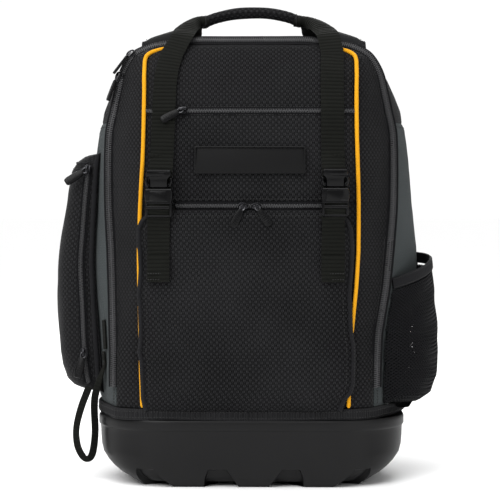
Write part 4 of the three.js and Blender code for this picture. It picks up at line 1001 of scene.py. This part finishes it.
def slider(name, at, out, along, down, size=1.0, tilt=0.0):
    """A zip slider, and a moulded pull that hangs from it."""
    along, out, down = (unit(np.asarray(way, float)) for way in (along, out, down))
    piece = Piece(f"{name}_slider_body", "zipper_metal")
    foot = rounded([(-2.4, -5.4), (2.4, -5.4), (3.9, .4), (3.4, 4.8), (-3.4, 4.8), (-3.9, .4)], 1.4) * size
    plate(piece, foot, 1.1 * size, at, along, out, edge=.3, lift=-.3)
    plate(piece, foot * (.94, .96), 1.2 * size, at, along, out, edge=.4, lift=2.6 * size)
    plate(piece, rounded(box_outline(1.4, 8.5), .4) * size, 2.4 * size, at, along, out, edge=.2, lift=.5)
    arch = smooth_path([(0, -4.2, 3.4), (0, -3.4, 5.4), (0, 0, 6.2), (0, 3.4, 5.2), (0, 4.2, 3.4)], .7) * size
    across = unit(np.cross(along, out))
    bridge = at + arch[:, :1] * across + arch[:, 1:2] * along + arch[:, 2:] * out
    sweep(piece, bridge, across, circle(.9 * size, 8, 1.5))
    piece.done(f"{name}_slider")
    pull = Piece(f"{name}_pull_tab", "zipper_pull")
    down = unit(down - out * np.dot(down, out) * (1 - tilt))
    top = at + out * (5.0 * size)
    ring_line = circle(1, 24) * (2.5, 3.0) - (0, 2.2)
    side_way = unit(np.cross(-down, out))
    face = unit(np.cross(side_way, -down))
    ring = top + (ring_line[:, :1] * side_way + ring_line[:, 1:] * -down) * size + face * .3
    sweep(pull, ring, face, circle(.75 * size, 8), closed=True, finish="bright_metal")
    tab = rounded([(-2.5, -4.4), (-3.5, -8), (-4.1, -13), (-4.3, -22), (-3.2, -25.5), (3.2, -25.5), (4.3, -22),
                   (4.1, -13),
                   (3.5, -8), (2.5, -4.4)], 1.5) * size
    plate(pull, tab, 2.6 * size, top, -down, face, edge=.7, lift=-.9)
    for k in range(5):
        bar = rounded(box_outline(5.4, 1.1, 0, -12.2 - k * 2.3), .4) * size
        plate(pull, bar, .7 * size, top, -down, face, edge=.25, lift=1.4)
    pull.done(f"{name}_pull")


def make_sliders():
    for name, x, z, way, along in (("top", -72, TOP_ZIP, (-1, 0, -.55), (1, 0, 0)),
                                   ("pocket_left", -7, POCKET_ZIP, (-.5, 0, -1), (-1, 0, 0)),
                                   ("pocket_right", 7, POCKET_ZIP, (.68, 0, -1), (1, 0, 0))):
        at, out = on_face(x, z, 2.4)
        slider(name, at, out, along, np.asarray(way) + out * .12)
    for name, row, way in (("main_upper", 10.1, (-.62, -.1, -1)), ("main_lower", 8.75, (-.42, -.1, -1))):
        at, out = on(arch_point, row - CROWN_ROW, 2.0, 1.5)
        ahead, _ = on(arch_point, row - CROWN_ROW + .2, 2.0, 1.5)
        slider(name, at, out, ahead - at, way, size=1.15, tilt=.6)


# Badge

def make_badge():
    centre, out = on_face(0, 352.0, 3.4)
    piece = Piece("badge_raised_plate", "badge_rubber")
    outline = rounded(box_outline(119, 30), 2.2, 6)
    plate(piece, outline, 1.6, centre, (0, 0, 1), out, edge=.5)
    rim = rounded(box_outline(116.4, 27.4), 1.6, 6)
    line = centre + np.column_stack([rim[:, 0], np.zeros(len(rim)), rim[:, 1]]) + out * 1.75
    sweep(piece, even_loop(line, 240)[0], out, circle(.8, 8), closed=True)
    piece.done("badge_plate", angle=30)


# Front straps, buckles and the handle

STRAP_X = {"left": np.array([(200, -97.0), (290, -97.0), (305, -95.8), (345, -94.0), (430, -91.5), (450, -89.5),
                             (467, -84.0), (483, -79.0)]),
           "right": np.array([(200, 88.6), (290, 88.6), (305, 89.9), (345, 88.5), (430, 88.0), (483, 88.6)])}
BUCKLE_LIFT = 9.0
GRIP_END, GRIP_BACK, GRIP_RISE = 56.3, 20.0, 35.0
TAKEOFF = [
    # out, back, rise, angle that its width is rolled through
    (.885, -3.25, .14, 0), (.742, -2.5, .4, .5), (.563, -1.85, .64, 1.9), (.33, -1.35, .775, 3.7),
    (.1, -1.12, .84, 5.2),
    (-.25, -1.11, .86, 5.8),
]
REAR = [
    (-.25, -.94, .86, 5.7), (.06, -.94, .84, 5.0), (.26, -.1, .68, 3.0), (.41, 1.4, .42, .8), (.51, 2.8, .22, 0),
    (.56, 4.1, .085, 0),
]


def flying(table, side, x_end, lean):
    table = np.array(table, float)
    x = GRIP_END + (abs(x_end) - GRIP_END) * table[:, 0]
    p = np.stack([side * x, table[:, 1] * GRIP_BACK, BODY_TOP + table[:, 2] * GRIP_RISE], -1)
    return rows_from(p, unit(np.array([0, lean, 1.0])), -table[:, 3])


def strap_x(name, z):
    return read(STRAP_X[name], z)[0]


def x_stitch(piece, centre, out, up, width, height):
    """A sewn box with a cross in it."""
    across = unit(np.cross(up, out))
    a, b = width / 2, height / 2
    corners = [(-a, -b), (a, -b), (a, b), (-a, b), (-a, -b)]
    lines = list(zip(corners[:-1], corners[1:])) + [((-a, -b), (a, b)), ((-a, b), (a, -b))]
    for p, q in lines:
        t = np.linspace(0, 1, 6)[:, None]
        flat = np.array(p) * (1 - t) + np.array(q) * t
        line = centre + flat[:, :1] * across + flat[:, 1:] * up
        stitches(piece, line, out, pitch=2.6, long=1.9, thick=.5)


def make_front_straps():
    for name, side in SIDES:
        piece = Piece(f"strap_upper_{name}_webbing", "webbing")
        z = np.array([317, 326, 334, 341.5, 348, 356, 368, 384, 400, 416, 432, 446, 458, 467])
        lift = np.array([5.2, 7.6, 8.6, 8.4, 6.4, 4.6, 3.8, 3.6, 3.9, 3.6, 3.6, 3.7, 3.6, 3.8])
        p, n = on_face(strap_x(name, z), z, lift)
        takeoff = flying(TAKEOFF, side, strap_x(name, 483) + (0 if side > 0 else 1.5), -.55)
        webbing(piece, np.vstack([rows_from(p, n), takeoff]), 25)
        for fold in (346.0, 356.5):
            c, out = on_face(strap_x(name, fold), fold, 6.3 if fold < 350 else 5.0)
            bar_across(piece, c, 12.6, out, circle(1.5, 8) * (1.5, 1.0))
        piece.done(f"strap_upper_{name}")

        piece = Piece(f"strap_lower_{name}_webbing", "webbing")
        z = np.array([318, 308, 299, 292, 286, 275, 262, 250, 238, 228, 222.0])
        p, n = on_pocket(strap_x(name, z), np.minimum(z, 297.0), 0.5)
        p[:, 2] = z
        p[:, 1] -= np.array([9.5, 9.0, 8.0, 5.2, 2.6, 1.0, .7, .9, .8, .9, 1.2])
        n[:4] = (0, -1, 0)
        webbing(piece, rows_from(p, n), 25)
        webbing(piece, rows_from(p[-4:] - (0, 2.0, 0), n[-4:]), 25)
        c = p[-2] - (0, 4.1, 0)
        bar = np.linspace(-10.8, 10.8, 12)
        for up in (-3.2, 3.2):
            line = c + np.column_stack([bar, np.zeros(12), np.full(12, up)])
            stitches(piece, line, FORWARD, pitch=2.6, long=1.9, thick=.5)
        piece.done(f"strap_lower_{name}")

        piece = Piece(f"handle_strap_{name}_webbing", "webbing")
        webbing(piece, flying(REAR, side, 92, .25), 25)
        piece.done(f"handle_strap_{name}")


def socket_half(t):
    """Half of the socket's width at a share of its height."""
    return np.interp(t, [0, .06, .12, .55, .66, .78, .9, .97, 1],
                     [13.2, 14.3, 14.4, 14.2, 14.6, 15.1, 14.8, 14.2, 13.6])


def make_buckles():
    for name, side in SIDES:
        socket_low, socket_high = (290.5, 321.5) if side < 0 else (291.5, 322.5)
        x = strap_x(name, 306)
        foot, out = on_face(x, socket_low, BUCKLE_LIFT)
        out = unit(out * (1, 1, .2))
        up = (0, 0, 1)
        height = socket_high - socket_low
        piece = Piece(f"buckle_socket_{name}_body", "buckle_plastic")
        t = np.linspace(.47, 1, 15)
        half = socket_half(t)
        outline = np.concatenate([np.stack([half, t * height], -1), np.stack([-half, t * height], -1)[::-1]])
        plate(piece, outline, 8.2, foot, up, out, edge=1.4)
        panel = rounded([(-10.5, .53 * height), (10.5, .53 * height), (9.5, .93 * height), (-9.5, .93 * height)], 2)
        plate(piece, panel, .9, foot, up, out, edge=.4, lift=8.0)
        for s in (-1, 1):
            bar = rounded([(s * 11.2, .02 * height), (s * 14.3, .05 * height), (s * 14.3, .52 * height),
                           (s * 11.2, .52 * height)], 1.2)
            plate(piece, bar, 5.4, foot, up, out, edge=1.0, lift=1.4)
        for low, high, deep in ((0, .105, 4.6), (.27, .44, 6.2)):
            bar_across(piece, foot + (0, 0, (low + high) / 2 * height) + out * (1.2 + deep / 2), 13.2, out,
                       circle(1, 12) * ((high - low) * height / 2, deep / 2))
        bar_across(piece, foot + (0, 0, .56 * height) + out * 7.6, 13.6, out, circle(1.1, 8))
        piece.done(f"buckle_socket_{name}", angle=50)

        piece = Piece(f"buckle_plug_{name}_body", "buckle_plastic")
        foot = on_face(x, socket_high + .3, BUCKLE_LIFT)[0]
        neck = rounded([(-9.6, 0), (9.6, 0), (9.4, 9.5), (13.2, 12.4), (13.0, 18.5), (-13.0, 18.5), (-13.2, 12.4),
                        (-9.4, 9.5)], 1.8)
        plate(piece, neck, 6.0, foot, up, out, edge=1.1, lift=1.0)
        for s in (-1, 1):
            ear = rounded([(s * 9.8, -1), (s * 13.2, 1.5), (s * 14.9, 6.2), (s * 14.6, 10.4), (s * 12.4, 10.8),
                           (s * 11.6, 6.0), (s * 9.6, 3.4)], 1.1)
            plate(piece, ear, 6.6, foot, up, out, edge=1.2, lift=.8)
        for rise in (13.0, 17.8):
            bar_across(piece, foot + (0, 0, rise) + out * 6.4, 12.2, out, circle(1.35, 10))
        piece.done(f"buckle_plug_{name}", angle=50)


def make_grip():
    shares = np.array([(-1, .69), (-.92, .72), (-.7, .85), (-.36, .97), (0, 1.01), (.36, .99), (.7, .885), (.92, .755),
                       (1, .72)])
    p = np.stack([shares[:, 0] * 56, np.full(9, -GRIP_BACK), BODY_TOP + shares[:, 1] * GRIP_RISE], -1)
    line = smooth_path(p, .9)
    n = len(line)
    s = np.linspace(-1, 1, n)
    radius = 5.9 + .5 * np.cos(s * 1.3) + .12 * waves(line, 26, 91)
    radius += .75 * (np.abs(s) > .9)
    radius *= np.where(np.abs(s) > .985, .86, 1)
    a = np.linspace(0, 2 * np.pi, 25)[:-1]
    seam = 1 - .1 * np.exp(-((a - 1.5 * np.pi) / .13) ** 2)
    fold = 1 + .018 * np.sin(s[:, None] * 60 + 2 * np.sin(a[None] * 2)) * (np.abs(s[:, None]) > .6)
    r = radius[:, None] * seam[None] * fold
    rings = np.stack([r * np.cos(a)[None], r * np.sin(a)[None]], -1)
    piece = Piece("handle_grip_padded", "padding")
    sweep(piece, line, (0, 0, 1.0), rings, finish="black_fabric", weave=cloth_rows(a * 6, np.arange(n) * .9))
    for at in (-.9, .9):
        pick = line[np.abs(s - at) < .02]
        ring = np.column_stack([np.full(24, pick[0, 0]), pick[0, 1] + np.cos(a) * 6.9, pick[0, 2] + np.sin(a) * 6.9])
        sweep(piece, ring, unit(ring - pick[0]), circle(.55, 6), closed=True, finish="thread")
    piece.done("handle_grip", fill=.8)


# Back and shoulder straps

def make_back():
    z = spread(BODY_BOTTOM + .4, BODY_TOP - .2, 3.2)
    u = row_of(z)
    share = np.concatenate([np.linspace(-1, -.9, 5), np.linspace(-.9, .9, 70)[1:-1], np.linspace(.9, 1, 5)])
    half = section(np.minimum(u, 13.8), np.ones(len(u)))[6]
    x = half[:, None] * share[None]
    zz = np.broadcast_to(z[:, None], x.shape)
    rim = np.minimum.reduce([half[:, None] - np.abs(x), zz - BODY_BOTTOM, BODY_TOP - zz])
    pads = np.ones_like(x)
    for centre_x, centre_z, wide, high in ((-66, 375, 52, 88), (66, 375, 52, 88), (0, 175, 122, 74)):
        d = np.maximum(np.abs(x - centre_x) / wide, np.abs(zz - centre_z) / high)
        pads = np.minimum(pads, np.abs(d - 1) * 7)
    full = np.clip(rim / 16, 0, 1)
    off = .5 + 13.0 * (1 - (1 - full) ** 2.2) - 3.6 * np.exp(-(pads * 1.3) ** 2) * full
    off += .5 * waves(np.stack([x, x * 0, zz], -1), 60, 71) * full
    back = np.stack([x, BACK + off, zz], -1)
    front = np.stack([x, np.full_like(x, BACK + .4), zz], -1)
    piece = Piece("back_panel_padded", "padding")
    sheet(piece, back, front, False, np.stack([x, zz], -1))
    piece.done("back_panel", fill=.6)


SHOULDER = np.array([
    # spread, back, drop, width, normal
    (0, .5, .13, .86, 0, -1, 0), (.05, .5, .05, .9, 0, -1, .05), (.15, .55, -.03, .95, .15, -.8, .5),
    (.2, .85, -.055, 1, .32, 0, 1), (.25, 1.15, -.02, 1, .2, .85, .5), (.35, 1.25, .1, 1, 0, 1, 0),
    (.5, 1.3, .35, 1, 0, 1, 0), (.7, 1.25, .65, .92, 0, 1, 0), (1, 1.1, .93, .76, 0, 1, 0), (1, 1.1, 1, .72, 0, 1, 0),
])


def shoulder_line(side):
    p = np.stack([side * (92 + SHOULDER[:, 0] * 30), 106 + SHOULDER[:, 1] * 26, BODY_TOP - SHOULDER[:, 2] * 300], -1)
    n = unit(SHOULDER[:, 4:7] * (side, 1, 1))
    line = smooth_path(np.hstack([p, n, SHOULDER[:, 3:4] * 66]), 3.5)
    return line[:, :3], unit(line[:, 3:6]), line[:, 6]


def make_shoulder_straps():
    for name, side in SIDES:
        path, out, width = shoulder_line(side)
        c, s = circle(1, 36).T
        n = len(path)
        length = np.arange(n) * 3.5
        plump = 1 + .05 * waves(path, 70, 61 + side)
        puck = 1 - .06 * (np.sin(length / 6.3 + side) > .9)
        flat = np.sign(c) * np.abs(c) ** .55
        fat = np.sign(s) * np.abs(s) ** .62
        groove = 1 - .32 * np.exp(-((np.abs(flat) - .84) / .05) ** 2)
        across = width[:, None] / 2 * flat[None]
        up = 5.6 + 5.6 * fat[None] * groove[None] * (plump * puck)[:, None]
        rings = np.stack([across, up], -1)
        rings[[0, -1]] = rings[[0, -1]] * (.93, .6) + (0, 2)
        piece = Piece(f"shoulder_strap_{name}_padded", "padding")
        sweep(piece, path, out, rings, weave=cloth_rows(lengths(rings[n // 2]), length))
        _, cross, lift = frames_along(path, out)
        for s2 in (-1, 1):
            edge = path + cross * (s2 * width[:, None] * .42) + lift * 10.1
            stitches(piece, edge[3:-3], lift[3:-3], pitch=3.6, long=2.5, thick=.55)
            rim = path + cross * (s2 * width[:, None] * .497) + lift * 5.6
            sweep(piece, rim, lift, circle(1, 8) * (1.5, 3.0), finish="binding")
        piece.done(f"shoulder_strap_{name}", fill=.7)

        end = path[-1]
        piece = Piece(f"strap_adjuster_{name}_ladder", "buckle_plastic")
        foot = np.array([end[0], end[1] + 2.5, end[2] - 26.3])
        for s2 in (-1, 1):
            bar = rounded([(s2 * 13.5, 2.6), (s2 * 16.9, 2.6), (s2 * 16.9, 23.4), (s2 * 13.5, 23.4)], 1.2)
            plate(piece, bar, 6, foot, (0, 0, 1), (0, 1, 0), edge=1.1)
        for low, high in ((.2, 5.0), (11.0, 15.2), (21.2, 25.8)):
            bar_across(piece, foot + (0, 3, (low + high) / 2), 15.4, (0, 1.0, 0),
                       circle(1, 12) * ((high - low) / 2, 3.0))
        piece.done(f"strap_adjuster_{name}", angle=50)

        piece = Piece(f"strap_tail_{name}_webbing", "webbing")
        middle = foot[1] + 2.1
        rows = [(foot[0], middle, foot[2] + 6), (foot[0], middle, foot[2] - 8)]
        landing = np.array([side * 118.0, 108.9, 97.1])
        start = np.array(rows[-1])
        for t, sag in ((.3, 1.5), (.6, 1.6), (.85, .8), (1, 0)):
            p = start + (landing - start) * t
            p[1] += sag
            rows.append(tuple(p))
        webbing(piece, rows_from(rows, (0, 1.0, 0)), 25, step=1.0)
        x_stitch(piece, landing + (0, 2.4, 8), np.array([0, 1.0, 0]), np.array([0, 0, 1.0]), 17, 12)
        piece.done(f"strap_tail_{name}")


# Side pocket on the left

SIDE_RISE = np.array([
    # height share, bulge
    (0, 0), (.012, .42), (.03, .72), (.06, .92), (.12, 1.03), (.18, 1.04), (.3, .97), (.46, .87),
    (.69, .79), (.83, .75),
    (.92, .66), (.96, .5), (.985, .28), (1, 0),
])
SIDE_FRONT, SIDE_BACK = 2.36, 3.78


def side_pocket_surface(rise, share):
    """The outside of the side pocket, share -1 at its front edge and 1 at its back edge."""
    rise, share = floats(rise, share)
    z = BODY_BOTTOM + 11 + rise * 266
    p, n = on_side(-1, row_of(z), SIDE_FRONT + (share + 1) / 2 * (SIDE_BACK - SIDE_FRONT))
    bulge = read(SIDE_RISE, rise)[0]
    edge = 1 - np.clip(np.abs(share), 0, 1) ** 8
    off = 2.4 + 36 * bulge * edge
    soft = np.clip(edge * 1.4, 0, 1) * np.clip(np.minimum(rise, 1 - rise) / .06, 0, 1)
    off = off + soft * (1.9 * waves(p, 120, 81) + .9 * waves(p * (1, 1, .6), 48, 83))
    off = off - 1.3 * soft * np.exp(-((rise - .52 - .05 * np.sin(share * 3)) / .035) ** 2) * np.clip(share + .6, 0, 1)
    return p + n * off[..., None]


def side_frame(rise, share, lift):
    away = (side_pocket_surface(rise, share) - (-150, MIDDLE, 0)) * (1, 1, 0)
    return on(side_pocket_surface, rise, share, lift, away=away)


def make_side_pocket():
    rise = places((0, .1, 13), (.1, .9, 66), (.9, 1, 13))
    share = places((-1, -.8, 14), (-.8, .8, 42), (.8, 1, 14))
    piece = Piece("side_pocket_cloth", "black_fabric")
    shell(piece, *side_frame(*np.meshgrid(rise, share, indexing="ij"), 0.0))
    for s in (-.985, .985):
        line, n = side_frame(np.linspace(.01, .99, 80), np.full(80, s), .3)
        sweep(piece, line, n, [(-2.6, -1.2), (-2.6, .4), (-1.7, 1.5), (0, 1.9), (1.7, 1.5), (2.6, .4), (2.6, -1.2)],
              finish="binding")
    for s in (-.8, .86):
        stitches(piece, *side_frame(np.linspace(.06, .94, 80), np.full(80, s), .1))
    for t in (.93, .07):
        stitches(piece, *side_frame(np.full(50, t), np.linspace(-.75, .8, 50), .1))
    seam, n = side_frame(np.full(60, .955), np.linspace(-.9, .92, 60), .1)
    sweep(piece, seam, n, circle(1.3, 8), finish="binding")
    piece.done("side_pocket")

    piece = Piece("side_zip_chain", "zipper_tape")
    zipper(piece, *side_frame(np.linspace(.045, .93, 90), np.full(90, -.93), .3))
    piece.done("side_zipper")
    for name, t, way in (("side_upper", .925, (-.86, -.2, -.5)), ("side_lower", .17, (-.26, -.2, -1))):
        at, n = side_frame(np.array(t), np.array(-.93), 1.7)
        slider(name, at, n, (0, 0, 1), way, size=1.1, tilt=.4)

    piece = Piece("side_pocket_tab_webbing", "webbing")
    webbing(piece, rows_from(*on_side(-1, row_of(np.linspace(145, 177, 9)), 2.22, .6)), 9, rib=2.4, rib_height=.2)
    piece.done("side_pocket_tab")


def make_loop():
    start, centre = -172.6, np.array([-182.6, 0, 61.0])
    rows = []
    for out, drop in ((.35, 0), (.75, .25), (1, .55), (.95, .8), (.65, .97), (.35, 1), (.12, .9), (0, .6), (0, .1)):
        p = np.array([start - out * 20, -54.0, 98 - drop * 74])
        away = unit((p - centre) * (1, 0, 1))
        rows.append((*p, *unit(np.array([0, -1, 0]) + away * .6), 0))
    seat, n = on_side(-1, row_of(np.array([126.0, 134, 142])), 2.27, .6)
    rows += [(*p, *m, 0) for p, m in zip(seat, n)]
    rows = np.array(rows)
    rows[0, 1] += 6
    rows[0, 2] += 4
    piece = Piece("hanging_loop_webbing", "webbing")
    webbing(piece, rows, 8, rib=2.4, rib_height=.18)
    for z in (128.0, 140.0):
        c, out = on_side(-1, row_of(z), 2.27, 2.5)
        line = c + np.linspace(-3, 3, 6)[:, None] * unit(np.cross((0, 0, 1), out))
        stitches(piece, line, out, pitch=1.6, long=1.4)
    piece.done("hanging_loop")


# Net pocket on the right

NET_RISE = np.array([
    # height share, bulge, sag
    (0, 0, 0), (.03, .5, .7), (.1, .86, .8), (.22, 1, .5), (.4, .96, .2), (.6, .82, 0), (.8, .62, 0), (1, .48, 0),
    (1.1, .42, 0),
])
NET_FRONT, NET_BACK = 2.12, 3.62


def net_surface(a, b):
    """The net's outside: a is up, from 0 to 1, and b is 0 at its front edge and 1 at its back edge."""
    a, b = floats(a, b)
    bulge, sag = read(NET_RISE, a)
    edge = 1 - np.clip(np.abs(2 * b - 1), 0, 1) ** 3
    height = 150 * (1 - .17 * (1 - b) ** 2)
    p, n = on_side(1, row_of(BODY_BOTTOM + 2.5 + a * height), NET_FRONT + b * (NET_BACK - NET_FRONT))
    off = 1.2 + bulge * edge * 33
    fold = (.7 * np.sin((a * 1.4 + b * 1.2) * 15 + 2 * np.sin(b * 6)) * np.clip(1 - a, 0, 1)
            + .6 * np.sin((a * 1.8 - b) * 13 + 1))
    off = off + fold * edge * np.clip(a * 6, 0, 1) * np.clip((1.05 - a) * 5, 0, 1)
    p = p + n * off[..., None]
    p[..., 2] -= sag * edge * 8
    return p


def net_frame(a, b, lift):
    return on(net_surface, a, b, lift, away=(1, 0, 0))


def make_net():
    piece = Piece("mesh_pocket_net", "mesh_fabric")
    long, high, pitch = 190.0, 158.0, 3.5
    strand = circle(.76, 4) @ np.array([(1, 1), (-1, 1)]) * math.sqrt(.5)
    for way, deep in ((1, 0), (-1, 0), (1, 9), (-1, 9)):
        start = -high if way > 0 else 0
        for k in np.arange(start, long + (0 if way > 0 else high), pitch * 1.25):
            t = np.arange(0, high * 1.0 + .1, 2.3)
            along = k + way * t
            keep = (along >= 0) & (along <= long)
            if keep.sum() < 3:
                continue
            wave = .28 * np.sign(np.cos(np.pi * t[keep] / (pitch * .62))) * way
            b = along[keep] / long
            sunk = deep * (1 - np.abs(2 * b - 1) ** 3) * (1 - .5 * t[keep] / high)
            line, n = net_frame(t[keep] / high, b, wave - sunk)
            sweep(piece, line, n, strand)
    piece.done("mesh_pocket")

    piece = Piece("mesh_binding_rim", "webbing")
    b = np.linspace(0, 1, 70)
    height = 150 * (1 - .17 * (1 - b) ** 2)
    line, n = net_frame(1 + 6.2 / height, b, -.8)
    line += n * (.5 * waves(line, 40, 95))[:, None]
    ring = [(-6, 0), (-6.2, 1.2), (-5.2, 2.3), (-2, 2.7), (2, 2.7), (5.2, 2.3), (6.2, 1.2), (6, 0)]
    path, out = even(line, n, 1.0)
    rings = np.broadcast_to(ring, (len(path), 8, 2)).copy()
    rings[:, 3:5, 1] += .22 * np.sin(np.arange(len(path)) * 2 * np.pi / 2.8)[:, None]
    s = np.array(ring)[:, 0]
    sweep(piece, path, out, rings, finish="binding", weave=cloth_rows(s, np.arange(len(path))))
    _, across, up = frames_along(path, out)
    for off in (-4.6, 4.6):
        stitches(piece, (path + across * off + up * 2.5)[3:-3:3], up[3:-3:3], pitch=3.2)
    piece.done("mesh_binding")

    piece = Piece("mesh_tab_webbing", "webbing")
    z = np.linspace(211, 249, 9)
    seat = body(row_of(z), 3.7, 1.0)
    inner = seat[:, 0].max() + 2.4
    rows = []
    for k, x in enumerate(np.linspace(inner - 1, inner + 18, 7)):
        rows.append((x, seat[4, 1] - .2 - 1.5 * math.sin(k * .9), 230.0))
    webbing(piece, rows_from(rows, (0, -1.0, 0)), 38, rib=2.6, rib_height=.2)
    piece.done("mesh_tab")


for make in (make_floor, make_base, make_band, make_walls, make_pocket, make_face_panels, make_piping,
             make_zips, make_sliders, make_badge, make_front_straps, make_buckles, make_grip, make_back,
             make_shoulder_straps, make_side_pocket, make_loop, make_net):
    make()
